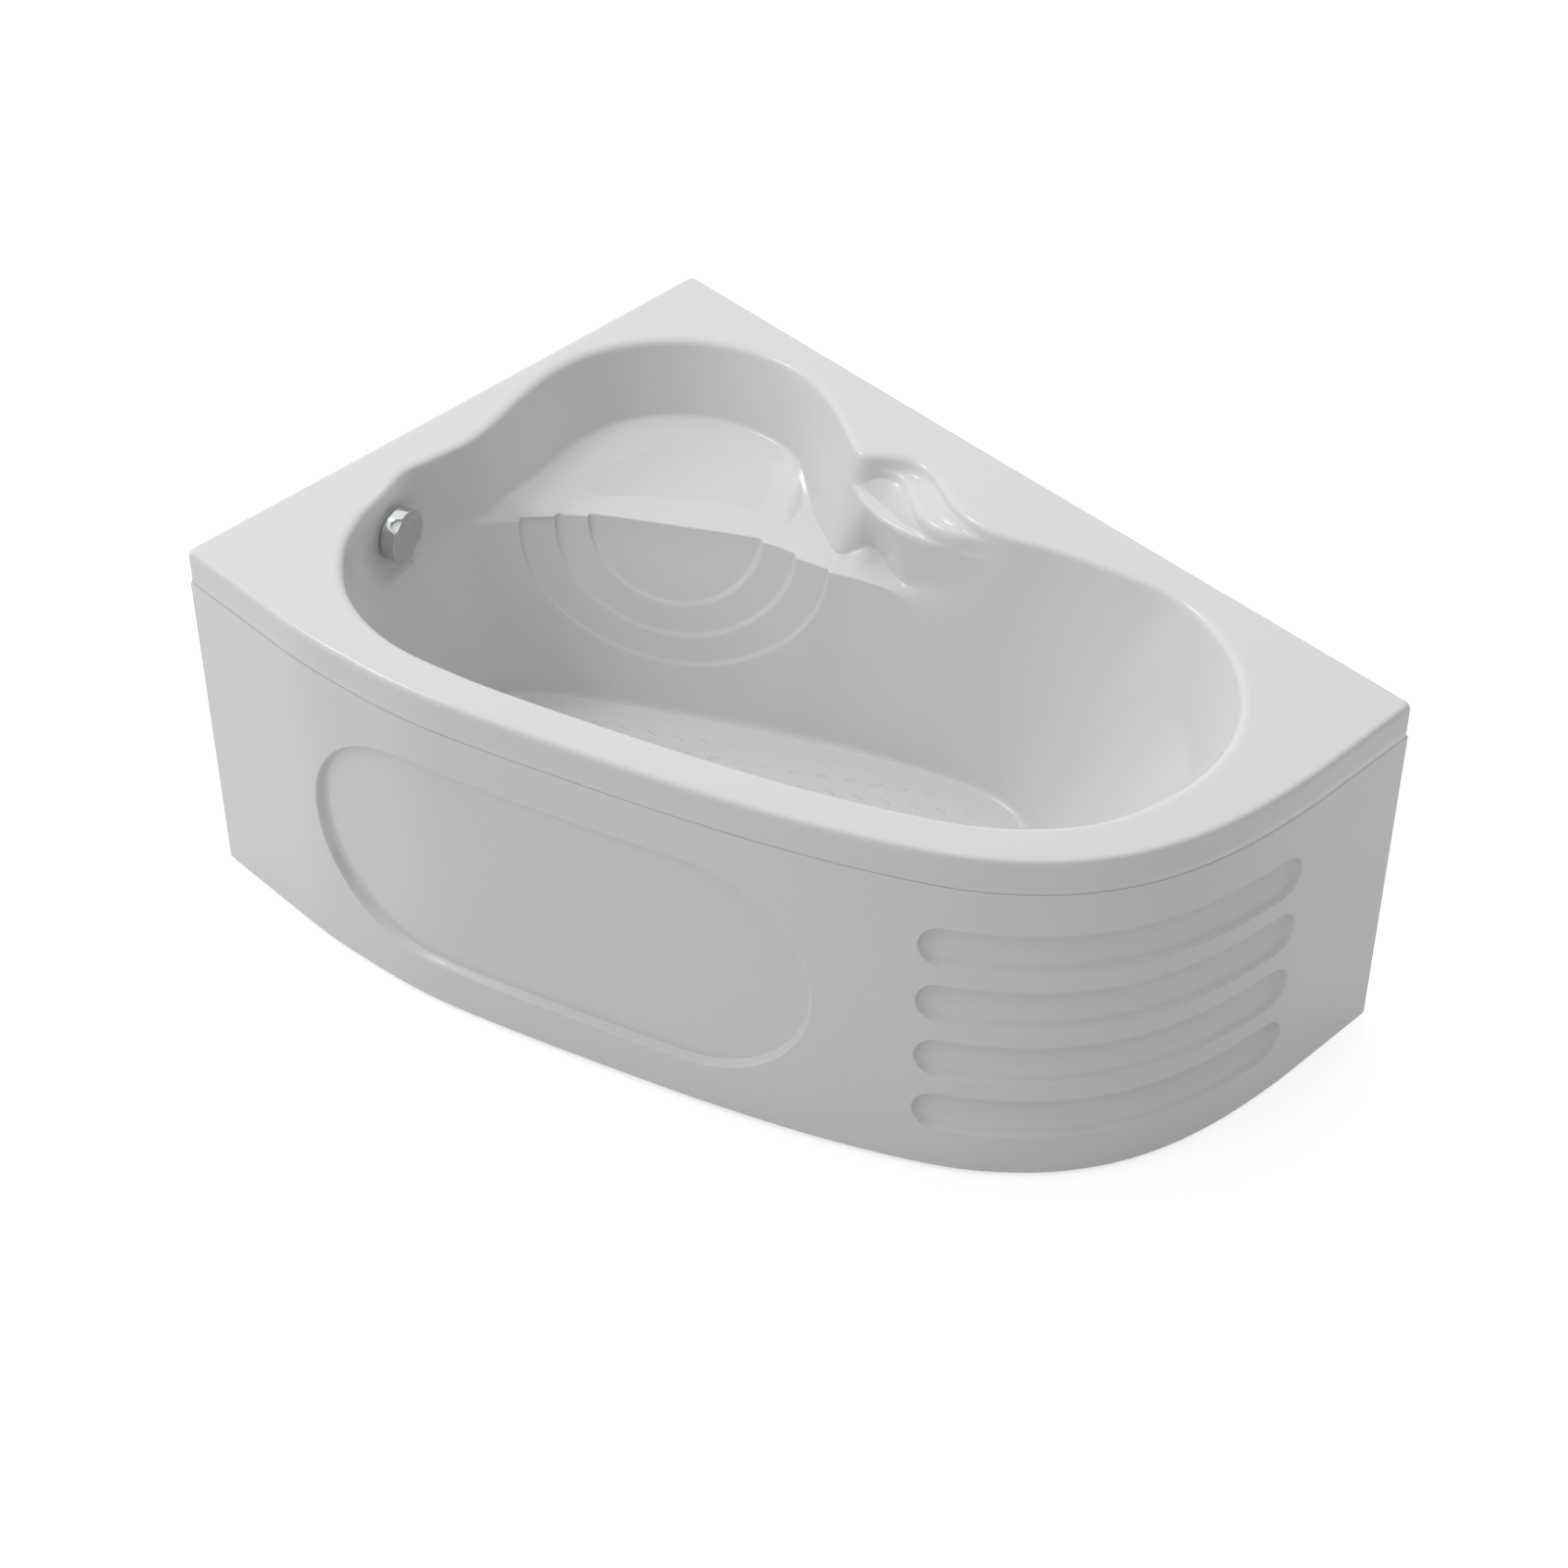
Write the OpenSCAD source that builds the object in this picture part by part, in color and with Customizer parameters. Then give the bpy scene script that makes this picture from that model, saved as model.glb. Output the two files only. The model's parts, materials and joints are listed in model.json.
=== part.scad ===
/* [Bath] */
// Length along the back wall
bath_len = 1500; // [1400:10:1600]
// Width along the left wall
bath_wid = 1037; // [960:10:1100]
// Height of the deck above the floor
bath_high = 640; // [620:5:670]
// Depth of the well below the deck
well_depth = 430; // [400:5:440]
// Depth of the corner seat below the deck
seat_depth = 140; // [120:5:170]
// Wall of the moulded shell
shell_wall = 6; // [4:0.5:8]
// Height of the skirt that hangs from the rim
skirt_high = 60; // [50:1:70]
// Plan radius of the three square corners
corner_r = 10; // [6:1:16]
// Rounding of the rim's top edge
rim_round = 12; // [8:1:16]
// Rounding of the lip of the well
lip_round = 14; // [8:1:18]

/* [Moulded details] */
// Depth of the upper soap shelf
shelf_one = 20; // [14:1:24]
// Depth of the lower soap shelf
shelf_two = 46; // [40:1:56]
// Step of each nested arc on the seat riser
arc_step = 9; // [6:1:12]
// Rounding where the wall meets the seat
seat_cove = 60; // [40:5:80]
// Rounding round the floor of the well
floor_cove = 55; // [40:5:70]
// Rounding of the front edge of the seat
seat_nose = 8; // [5:1:12]

/* [Front panel] */
// Wall of the moulded front panel
panel_wall = 4; // [3:0.5:5]
// Groove between skirt and panel
panel_gap = 3; // [2:0.5:4]
// Gap under the panel
panel_lift = 8; // [6:1:15]
// Depth of the long oval recess
oval_depth = 13; // [10:1:16]
// Depth of the four slot recesses
slot_depth = 16; // [12:1:18]
// Height of one slot recess
slot_high = 75; // [60:1:80]
// Distance from one slot to the next
slot_pitch = 112; // [105:1:116]
// Number of slot recesses
slot_count = 4; // [2:1:4]
// Distance from the deck down to the first recess edge
recess_top = 142; // [120:1:150]
// Height of the oval recess
oval_high = 411; // [360:1:420]

/* [Frame] */
// Side of the square steel tube
tube_side = 25; // [20:1:28]
// Wall of the steel tube
tube_wall = 2; // [1.5:0.5:2.5]
// Thickness of the board under the well
board_thick = 16; // [12:1:18]
// Distance from the walls to the middle of the outer rails
rail_inset = 36; // [34:1:42]

/* [Feet] */
// Diameter of the foot stud
stud_d = 12; // [10:1:14]
// Diameter of the foot pad
pad_d = 60; // [50:1:70]
// Height of the foot pad
pad_high = 24; // [20:1:28]
// Travel of each foot
foot_travel = 30; // [20:1:30]
// Running clearance on the radius of studs and shafts
run_gap = 0.05; // [0.03:0.01:0.1]

/* [Waste and overflow] */
// Diameter of the waste hole in the well
waste_hole_d = 52; // [48:1:56]
// Diameter of the chrome waste flange
flange_d = 70; // [66:1:74]
// Diameter of the outlet pipe
outlet_d = 40; // [32:1:44]
// Length of the outlet spigot that is left free
outlet_free = 60; // [50:1:80]
// Lift of the plug
plug_lift = 10; // [8:1:12]
// Diameter of the overflow knob
knob_d = 86; // [70:1:90]
// Thickness of the knob
knob_thick = 22; // [18:1:26]
// Thickness of the ring under the knob
ring_thick = 6; // [4:1:8]
// Depth of the knob's middle below the deck
knob_depth = 72; // [66:1:90]
// Diameter of the overflow hole
overflow_hole_d = 52; // [46:1:56]
// Outer diameter of the overflow hose
hose_d = 36; // [30:1:38]
// Outer diameter of the control cable
cable_d = 5; // [4:0.5:6]

/* [Hidden] */

// Facets of round parts that are true curves
round_fn = 48;
// One overrun for every cut
over = 1;
// Gap between curved faces of separate pieces
seat_gap = 0.3;

// Rays round the well and samples along a span of an outline
ray_count = 66;
span_steps = 5;

// Middle of the rays, and the shape of the ellipse that spaces them
core_share = [0.430, 0.500];
core_turn = 25;
core_stretch = 2;

// Outline of the well at the deck, clockwise from the front left, as shares of length and width
opening_shares = [
    [0.110, 0.837], [0.080, 0.771], [0.059, 0.720], [0.053, 0.665], [0.058, 0.598], [0.061, 0.540],
    [0.054, 0.482], [0.037, 0.397], [0.028, 0.313], [0.036, 0.236], [0.068, 0.156], [0.123, 0.092],
    [0.200, 0.060], [0.266, 0.076], [0.319, 0.114], [0.357, 0.144], [0.370, 0.130], [0.389, 0.108],
    [0.410, 0.094], [0.440, 0.100], [0.466, 0.119], [0.497, 0.135], [0.527, 0.138], [0.560, 0.129],
    [0.613, 0.100], [0.677, 0.075], [0.740, 0.060], [0.799, 0.077], [0.856, 0.123], [0.901, 0.197],
    [0.923, 0.289], [0.921, 0.395], [0.895, 0.500], [0.835, 0.595], [0.751, 0.668], [0.654, 0.733],
    [0.547, 0.793], [0.440, 0.848], [0.340, 0.894], [0.247, 0.919], [0.169, 0.898]
];

// Outline of the floor of the well, clockwise from its left end
floor_shares = [
    [0.127, 0.675], [0.126, 0.610], [0.141, 0.564], [0.171, 0.521], [0.216, 0.480], [0.277, 0.427],
    [0.352, 0.367], [0.427, 0.308], [0.503, 0.258], [0.563, 0.226], [0.613, 0.210], [0.662, 0.226],
    [0.695, 0.290], [0.706, 0.376], [0.694, 0.463], [0.660, 0.540], [0.605, 0.605], [0.530, 0.665],
    [0.440, 0.720], [0.350, 0.765], [0.270, 0.795], [0.205, 0.800], [0.160, 0.772], [0.135, 0.725]
];

// Front edge of the seat, from the left wall to the back wall
seat_edge_shares = [
    [0.064, 0.600], [0.072, 0.570], [0.103, 0.502], [0.131, 0.457], [0.161, 0.419], [0.236, 0.354],
    [0.315, 0.288], [0.349, 0.271], [0.387, 0.253], [0.455, 0.212], [0.497, 0.189], [0.520, 0.165]
];

// Soap shelf: nose of the upper shelf, foot of the next step and nose of the lower shelf
shelf_nose_one_shares = [
    [0.352, 0.150], [0.366, 0.140], [0.381, 0.126], [0.401, 0.119], [0.421, 0.126], [0.441, 0.147],
    [0.461, 0.163], [0.481, 0.168], [0.501, 0.165], [0.521, 0.152], [0.541, 0.138], [0.580, 0.108]
];
shelf_foot_two_shares = [
    [0.352, 0.152], [0.369, 0.141], [0.386, 0.131], [0.406, 0.135], [0.426, 0.151], [0.453, 0.168],
    [0.479, 0.175], [0.501, 0.171], [0.523, 0.157], [0.543, 0.141], [0.580, 0.110]
];
shelf_nose_two_shares = [
    [0.352, 0.130], [0.358, 0.145], [0.372, 0.165], [0.392, 0.181], [0.419, 0.191], [0.439, 0.190],
    [0.465, 0.185], [0.492, 0.176], [0.525, 0.159], [0.547, 0.143], [0.580, 0.112]
];

// Front outline from the straight left part to the straight right end
front_shares = [
    [0.153, 1.000], [0.237, 0.990], [0.313, 0.972], [0.399, 0.936], [0.516, 0.8785], [0.628, 0.819],
    [0.733, 0.754], [0.830, 0.680], [0.886, 0.620], [0.933, 0.546], [0.969, 0.453], [0.991, 0.338],
    [1.000, 0.194]
];

// Length share where the oval and the slots begin and end on the front, measured along it
oval_span_share = [0.125, 0.534];
slot_span_share = [0.609, 0.895];

// Place in plan from shares of length and width, counted from the back left corner
function place(share) = [share[0] * bath_len - bath_len / 2, bath_wid / 2 - share[1] * bath_wid];
function places(shares) = [for (share = shares) place(share)];

// Smooth curve through four points
function smooth(a, b, c, d, t) =
    (2 * b + (c - a) * t + (2 * a - 5 * b + 4 * c - d) * t * t + (3 * b - a - 3 * c + d) * t * t * t) / 2;

// Closed smooth outline through the points
function closed_curve(p) = [
    for (i = [0 : len(p) - 1], k = [0 : span_steps - 1])
    smooth(p[(i + len(p) - 1) % len(p)], p[i], p[(i + 1) % len(p)], p[(i + 2) % len(p)], k / span_steps)
];

// Open smooth line through the points, with straight run-outs of its end spans
function open_curve(p, first, last) = [
    for (i = [0 : len(p) - 2], k = [0 : span_steps - (i < len(p) - 2 ? 1 : 0)])
    smooth(i == 0 ? first : p[i - 1], p[i], p[i + 1], i == len(p) - 2 ? last : p[i + 2], k / span_steps)
];

function mix(a, b, t) = a + (b - a) * t;
function clamp01(t) = max(0, min(1, t));
function ease(t) = clamp01(t) * clamp01(t) * (3 - 2 * clamp01(t));
function unit(v) = v / norm(v);
function cross2(a, b) = a[0] * b[1] - a[1] * b[0];
function left_of(v) = [-v[1], v[0]];
function at_high(p, z) = [p[0], p[1], z];

// Front outline as one line of points from the left wall to the back wall
front_line = concat(
    [place([0, 1])],
    open_curve(places(front_shares), place([0, 1]), place([1, 0])),
    [place([1, 0])]
);

// Rounded corner between two directions: the arc's points, from one to the other
function corner_arc(c, from, steps) = [
    for (k = [0 : steps]) c + corner_r * [cos(from - 90 * k / steps), sin(from - 90 * k / steps)]
];
corner_steps = 2;
corner_back_left = corner_arc(place([0, 0]) + [corner_r, -corner_r], 180, corner_steps);
corner_back_right = corner_arc(place([1, 0]) + [-corner_r, -corner_r], 90, corner_steps);
corner_front_left = corner_arc(place([0, 1]) + [corner_r, corner_r], 270, corner_steps);
front_middle = [for (i = [len(front_line) - 2 : -1 : 1]) front_line[i]];

// Whole outline of the rim, clockwise
rim_line = concat(corner_back_left, corner_back_right, front_middle, corner_front_left);

// Rays: directions from the middle of the well, spaced like an ellipse along the well
core = place(core_share);
function turned(v, a) = [v[0] * cos(a) - v[1] * sin(a), v[0] * sin(a) + v[1] * cos(a)];
function ray_dir(a) = unit(turned([core_stretch * cos(a), sin(a)], core_turn));
function ray_angle(p) = let(v = turned(p - core, -core_turn)) atan2(v[1], v[0] / core_stretch);

// Distances from the middle at which a ray crosses a line of points
function reach(line, d, closed = 1) = [
    for (i = [0 : len(line) - 2 + closed])
    let(a = line[i] - core, b = line[(i + 1) % len(line)] - core, ca = cross2(d, a), cb = cross2(d, b))
    if ((ca < 0) != (cb < 0))
    let(far = (a + (b - a) * (ca / (ca - cb))) * d)
    if (far > 0) far
];

opening_line = closed_curve(places(opening_shares));
floor_line = closed_curve(places(floor_shares));
function free_curve(shares) = let(p = places(shares)) open_curve(p, p[0], p[len(p) - 1]);
seat_edge_line = free_curve(seat_edge_shares);
nose_one_line = free_curve(shelf_nose_one_shares);
foot_two_line = free_curve(shelf_foot_two_shares);
nose_two_line = free_curve(shelf_nose_two_shares);

// Angles of the rays, closer together on the seat riser, with the rim's corners among them
ray_step = 360 / ray_count;
seat_rays = [ray_angle(place(seat_edge_shares[1])), ray_angle(place(seat_edge_shares[9]))];
rim_corners = concat(corner_back_left, corner_back_right, corner_front_left);
corner_angles = [for (p = rim_corners) ray_angle(p)];
even_angles = [for (i = [0 : ray_count - 1]) i * ray_step - 180];
function whole_turn(a) = a > 180 ? a - 360 : a < -180 ? a + 360 : a;
function in_seat(a) = a > seat_rays[1] && a < seat_rays[0];
extra_angles = [for (a = even_angles) if (in_seat(a)) a + ray_step / 2];
keep_apart = ray_step / 4;
own_angles = [
    for (a = concat(even_angles, extra_angles))
    if (min([for (c = corner_angles) abs(whole_turn(a - c))]) > keep_apart) a
];
function sorted(v) = len(v) < 2 ? v :
    let(mid = v[floor(len(v) / 2)])
    concat(sorted([for (a = v) if (a < mid) a]), [mid], sorted([for (a = v) if (a > mid) a]));
angles = sorted(concat(own_angles, corner_angles));
ray_total = len(angles);
dirs = [for (a = angles) ray_dir(a)];

rim_reach = [for (d = dirs) max(reach(rim_line, d))];
open_reach = [for (d = dirs) min(reach(opening_line, d))];
floor_reach = [for (d = dirs) min(reach(floor_line, d))];

// How much longer a step along the ray is than the same step square to the outline
function slant(r, i, most) = let(
    n = ray_total,
    p = dirs[(i + 1) % n] * r[(i + 1) % n],
    q = dirs[(i + n - 1) % n] * r[(i + n - 1) % n],
    side = left_of(unit(p - q))
) 1 / max(1 / most, abs(side * dirs[i]));
slant_most = 2.4;
open_slant = [for (i = [0 : ray_total - 1]) slant(open_reach, i, slant_most)];
floor_slant = [for (i = [0 : ray_total - 1]) slant(floor_reach, i, slant_most)];
rim_slant = [for (i = [0 : ray_total - 1]) slant(rim_reach, i, slant_most)];

// Plan lean of the wall above the seat, and of the wall below the soap shelf
seat_lean = 62;
shelf_lean = 22;
// Drop of the seat from its foot to its front edge
seat_fall = 3;

function nearest(line, d, otherwise) = let(hits = reach(line, d, 0)) len(hits) > 0 ? min(hits) : otherwise;
function wall_reach(i, top, deep) = open_reach[i] - (open_reach[i] - top) * deep / seat_depth;
plain_foot = [
    for (i = [0 : ray_total - 1])
    open_reach[i] - min(seat_lean * open_slant[i],
        (open_reach[i] - floor_reach[i]) * seat_depth / well_depth)
];
nose_one = [
    for (i = [0 : ray_total - 1])
    let(wall = wall_reach(i, plain_foot[i], shelf_one)) min(wall, nearest(nose_one_line, dirs[i], wall))
];
foot_two = [
    for (i = [0 : ray_total - 1])
    let(wall = wall_reach(i, plain_foot[i], shelf_two))
    min(wall, nose_one[i], nearest(foot_two_line, dirs[i], wall))
];
nose_two = [
    for (i = [0 : ray_total - 1])
    let(wall = wall_reach(i, plain_foot[i], shelf_two))
    min(wall, foot_two[i], nearest(nose_two_line, dirs[i], wall))
];
seat_foot = [
    for (i = [0 : ray_total - 1])
    let(shelf = wall_reach(i, plain_foot[i], shelf_two) - nose_two[i])
    min(plain_foot[i], nose_two[i] - shelf_lean * ease(shelf / shelf_lean))
];
seat_edge = [
    for (i = [0 : ray_total - 1])
    let(wall = mix(seat_foot[i], floor_reach[i], seat_fall / (well_depth - seat_depth)))
    min(wall, nearest(seat_edge_line, dirs[i], wall))
];

// Nested arcs on the riser: half ellipses round one middle on the seat's front edge
arc_middle_share = [0.245, 0.372];
arc_turn = 31;
arc_reach = [248, 190, 134];
arc_drop = [195, 153, 102];
arc_soft_share = 0.06;
arc_middle = place(arc_middle_share);
arc_along = [cos(arc_turn), sin(arc_turn)];
function arc_depth(p, deep) = arc_step * sum3([
    for (k = [0 : 2])
    let(s = (p - arc_middle) * arc_along / arc_reach[k], h = (deep - seat_depth) / arc_drop[k])
    1 - ease((sqrt(s * s + h * h) - 1) / arc_soft_share + 1 / 2)
]);
function sum3(v) = v[0] + v[1] + v[2];
function has_seat(i) = seat_foot[i] - seat_edge[i] > seat_nose;
function arc_push(i, r, deep) = has_seat(i) ? arc_depth(core + dirs[i] * r, deep) : 0;

// Knob: its axis lies level, and its middle sits on a flat of the wall
knob_base_share = [0.072, 0.708];
knob_turn = 19.4;
knob_base = place(knob_base_share);
knob_dir = [cos(knob_turn), sin(knob_turn)];
knob_z = bath_high - knob_depth;
flat_inner = 46;
flat_blend = 60;
function flat_weight(p, deep) = let(side = cross2(knob_dir, p - knob_base), rise = deep - knob_depth)
    1 - ease((sqrt(side * side + rise * rise) - flat_inner) / flat_blend);
function flatten(i, r, deep, t) = let(
    facing = dirs[i] * knob_dir,
    flat_r = ((knob_base - core) * knob_dir - t) / facing,
    weight = facing < -1 / 3 ? flat_weight(core + dirs[i] * flat_r, deep) : 0
) mix(r, flat_r, weight);

// Rounded corner of a profile: a curve from one side of the corner to the other
side_share = 0.42;
function rounded(a, c, b, cut, n) = let(
    p = c + unit(a - c) * min(cut, norm(a - c) * side_share),
    q = c + unit(b - c) * min(cut, norm(b - c) * side_share)
) [for (k = [0 : n - 1]) let(t = k / (n - 1)) p * (1 - t) * (1 - t) + c * (2 * t * (1 - t)) + q * t * t];
function between(a, b, n) = [for (k = [1 : n]) mix(a, b, k / (n + 1))];

// Corners of the profile along a ray, as distance from the middle and depth, moved out by a wall
shelf_round = 7;
function rim_corner(i, t) = [rim_reach[i] - t * rim_slant[i], t];
function lip_corner(i, t) = [open_reach[i] + t * open_slant[i], t];
function step_corner(i, r, deep, t) = [r + t * open_slant[i], deep + t];
function foot_corner(i, t) = [seat_foot[i] + t * open_slant[i], seat_depth + t];
function edge_corner(i, t) = let(r = seat_edge[i])
    [r + arc_push(i, r, seat_depth) + t * floor_slant[i], seat_depth + seat_fall + t];
function floor_corner(i, t) = [floor_reach[i] + t * floor_slant[i], well_depth + t];
function step_one(i) = wall_reach(i, plain_foot[i], shelf_one);
// Fall of each soap shelf towards the well
shelf_fall = 1.5;

riser_rows = 8;
function riser(i, t, n) = [
    for (p = between(edge_corner(i, t), floor_corner(i, t), n))
    let(deep = p[1] - t,
        plain = mix(seat_edge[i], floor_reach[i], (deep - seat_depth) / (well_depth - seat_depth)))
    [plain + arc_push(i, plain, deep) + t * floor_slant[i], p[1]]
];

upper_rows = 3;
function top_profile(i) = let(
    skirt = [rim_reach[i], skirt_high],
    rim = rim_corner(i, 0),
    lip = lip_corner(i, 0),
    s1 = step_corner(i, step_one(i), shelf_one, 0),
    s2 = step_corner(i, nose_one[i], shelf_one + shelf_fall, 0),
    s3 = step_corner(i, foot_two[i], shelf_two, 0),
    s4 = step_corner(i, nose_two[i], shelf_two + shelf_fall, 0),
    foot = foot_corner(i, 0),
    edge = edge_corner(i, 0),
    rows = riser(i, 0, riser_rows),
    base = floor_corner(i, 0)
) concat(
    [skirt],
    rounded(skirt, rim, lip, rim_round, 4),
    rounded(rim, lip, s1, lip_round, 4),
    rounded(lip, s1, s2, shelf_round, 2),
    rounded(s1, s2, s3, shelf_round, 2),
    rounded(s2, s3, s4, shelf_round, 2),
    rounded(s3, s4, foot, shelf_round, 2),
    between(s4, mix(s4, foot, 1 - side_share), upper_rows),
    rounded(s4, foot, edge, seat_cove, 4),
    rounded(foot, edge, rows[0], seat_nose, 3),
    [for (k = [0 : riser_rows - 2]) rows[k]],
    rounded(rows[riser_rows - 2], base, [0, well_depth], floor_cove, 4),
    [[floor_reach[i] / 2, well_depth]]
);

under_rows = 5;
function under_profile(i) = let(
    t = shell_wall,
    lip = lip_corner(i, t),
    s4 = step_corner(i, nose_two[i], shelf_two, t),
    foot = foot_corner(i, t)
) concat(
    [[floor_reach[i] / 2, well_depth + t], floor_corner(i, t)],
    [for (k = [under_rows - 1 : -1 : 0]) riser(i, t, under_rows)[k]],
    [edge_corner(i, t), foot],
    [mix(foot, s4, 1 / 3), mix(foot, s4, 2 / 3)],
    [s4, step_corner(i, nose_one[i], shelf_one, t), lip, rim_corner(i, t)],
    [[rim_reach[i] - t * rim_slant[i], skirt_high]]
);

// Point in space of a profile point, on the flat of the knob where it lies there
function on_wall(i, p) = p[1] < seat_depth && p[0] <= open_reach[i] + shell_wall * slant_most;
function solid_point(i, p, t) = at_high(
    core + dirs[i] * (on_wall(i, p) ? flatten(i, p[0], p[1], t) : p[0]),
    bath_high - p[1]
);

shell_profiles = [for (i = [0 : ray_total - 1]) concat(top_profile(i), under_profile(i))];
ring_total = len(shell_profiles[0]);
top_total = len(top_profile(0));
shell_points = concat(
    [for (k = [0 : ring_total - 1], i = [0 : ray_total - 1])
        solid_point(i, shell_profiles[i][k], k < top_total ? 0 : shell_wall)],
    [at_high(core, bath_high - well_depth), at_high(core, bath_high - well_depth - shell_wall)]
);
function ring_point(k, i) = k * ray_total + i % ray_total;
floor_middle = ring_total * ray_total;
under_middle = floor_middle + 1;
// Rings are joined in order, except between the two middles of the floor
joined_rings = [for (k = [0 : ring_total - 1]) if (k != top_total - 1) [k, (k + 1) % ring_total]];
shell_faces = concat(
    [for (j = joined_rings, i = [0 : ray_total - 1]) [ring_point(j[0], i), ring_point(j[1], i),
        ring_point(j[0], i + 1)]],
    [for (j = joined_rings, i = [0 : ray_total - 1]) [ring_point(j[0], i + 1), ring_point(j[1], i),
        ring_point(j[1], i + 1)]],
    [for (i = [0 : ray_total - 1]) [ring_point(top_total - 1, i + 1), ring_point(top_total - 1, i),
        floor_middle]],
    [for (i = [0 : ray_total - 1]) [ring_point(top_total, i), ring_point(top_total, i + 1), under_middle]]
);

// Board under the well: the floor's outline drawn in, with a hole for the waste
board_inset_share = 0.96;
floor_under = bath_high - well_depth - shell_wall;
rail_top = floor_under - board_thick;
rail_low = rail_top - tube_side;
board_hole_play = 6;
board_hole_d = flange_d + 2 * board_hole_play;
waste_reach = 235;
waste_at = knob_base + knob_dir * waste_reach;
skirt_low = bath_high - skirt_high;

// Facets of the holes in the shell, and how far the overflow's cut reaches to either side
hole_fn = 32;
hole_cut = 24;
module tub_shell() {
    color("white") resize([0, 0, 0]) difference() {
        polyhedron(shell_points, shell_faces);
        translate(at_high(waste_at, floor_under - over))
            cylinder(d = waste_hole_d, h = shell_wall + 2 * over, $fn = hole_fn);
        at_knob(-hole_cut) cylinder(d = overflow_hole_d, h = 2 * hole_cut, $fn = hole_fn);
    }
}

// Frame whose z runs along the knob's axis into the well, starting at a place on that axis
module at_knob(out) {
    translate(at_high(knob_base, knob_z)) rotate([0, 0, knob_turn]) rotate([0, 90, 0])
        translate([0, 0, out]) children();
}

// Upright frame at the knob, with x along the knob's axis
module in_waste_plane() {
    translate(at_high(knob_base, 0)) rotate([0, 0, knob_turn]) children();
}

module base_board() {
    color("burlywood") translate([0, 0, rail_top]) difference() {
        linear_extrude(board_thick)
            polygon([for (p = floor_line) core + (p - core) * board_inset_share]);
        translate(at_high(waste_at, -over))
            cylinder(d = board_hole_d, h = board_thick + 2 * over, $fn = round_fn);
    }
}

seat_board_shares = [[0.095, 0.310], [0.125, 0.190], [0.200, 0.135], [0.275, 0.175], [0.285, 0.235],
    [0.150, 0.360]];
seat_under = bath_high - seat_depth - seat_fall - shell_wall;
module seat_board() {
    color("burlywood") translate([0, 0, seat_under - seat_gap - board_thick])
        linear_extrude(board_thick) polygon(places(seat_board_shares));
}

// Front panel: plan lines that run at an even distance inside the rim's front outline
function line_lengths(p, i = 0, so_far = 0) = i >= len(p) - 1 ? [so_far] :
    concat([so_far], line_lengths(p, i + 1, so_far + norm(p[i + 1] - p[i])));
front_lengths = line_lengths(front_line);
front_total = front_lengths[len(front_lengths) - 1];
function facing(p, i) = left_of(unit(p[min(i + 1, len(p) - 1)] - p[max(i - 1, 0)]));
front_normals = [for (i = [0 : len(front_line) - 1]) facing(front_line, i)];
function segment_at(s) = max([for (i = [0 : len(front_line) - 2]) if (front_lengths[i] <= s) i]);
function front_at(s, inset) = let(
    i = segment_at(s),
    t = (s - front_lengths[i]) / (front_lengths[i + 1] - front_lengths[i])
) mix(front_line[i] + front_normals[i] * inset, front_line[i + 1] + front_normals[i + 1] * inset, t);
function front_normal(s) = let(i = segment_at(s)) unit(mix(front_normals[i], front_normals[i + 1],
    (s - front_lengths[i]) / (front_lengths[i + 1] - front_lengths[i])));

// Plan band of the panel between two insets and two lengths along the front
function band(s1, s2, in1, in2) = let(
    inner = [for (i = [0 : len(front_line) - 1])
        if (front_lengths[i] > s1 + over && front_lengths[i] < s2 - over) front_lengths[i]],
    stops = concat([s1], inner, [s2])
) concat([for (s = stops) front_at(s, in1)], [for (k = [len(stops) - 1 : -1 : 0]) front_at(stops[k], in2)]);
module band_wall(s1, s2, in1, in2, z1, z2) {
    translate([0, 0, z1]) linear_extrude(z2 - z1) polygon(band(s1, s2, in1, in2));
}

// Bar that follows the front between two lengths, from the insets and heights of its section
module front_bar(s1, s2, section) {
    stops = concat([s1], [for (s = front_lengths) if (s > s1 + over && s < s2 - over) s], [s2]);
    n = len(section);
    last = n * (len(stops) - 1);
    polyhedron([for (s = stops, p = section) at_high(front_at(s, p[0]), p[1])], concat(
        [[for (k = [n - 1 : -1 : 0]) k], [for (k = [0 : n - 1]) last + k]],
        [for (i = [0 : n : last - n], k = [0 : n - 1])
            [i + k, i + (k + 1) % n, i + n + (k + 1) % n, i + n + k]]
    ));
}

panel_end_gap = 1;
panel_low = panel_lift;
panel_top = skirt_low - panel_gap;
tongue_wall = panel_wall;
tongue_gap = 5;
tongue_inset = shell_wall + tongue_gap;
tongue_rise = 24;
shoulder_high = 5;
shoulder_drop = 2;
shoulder_top = panel_top - shoulder_drop;

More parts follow.
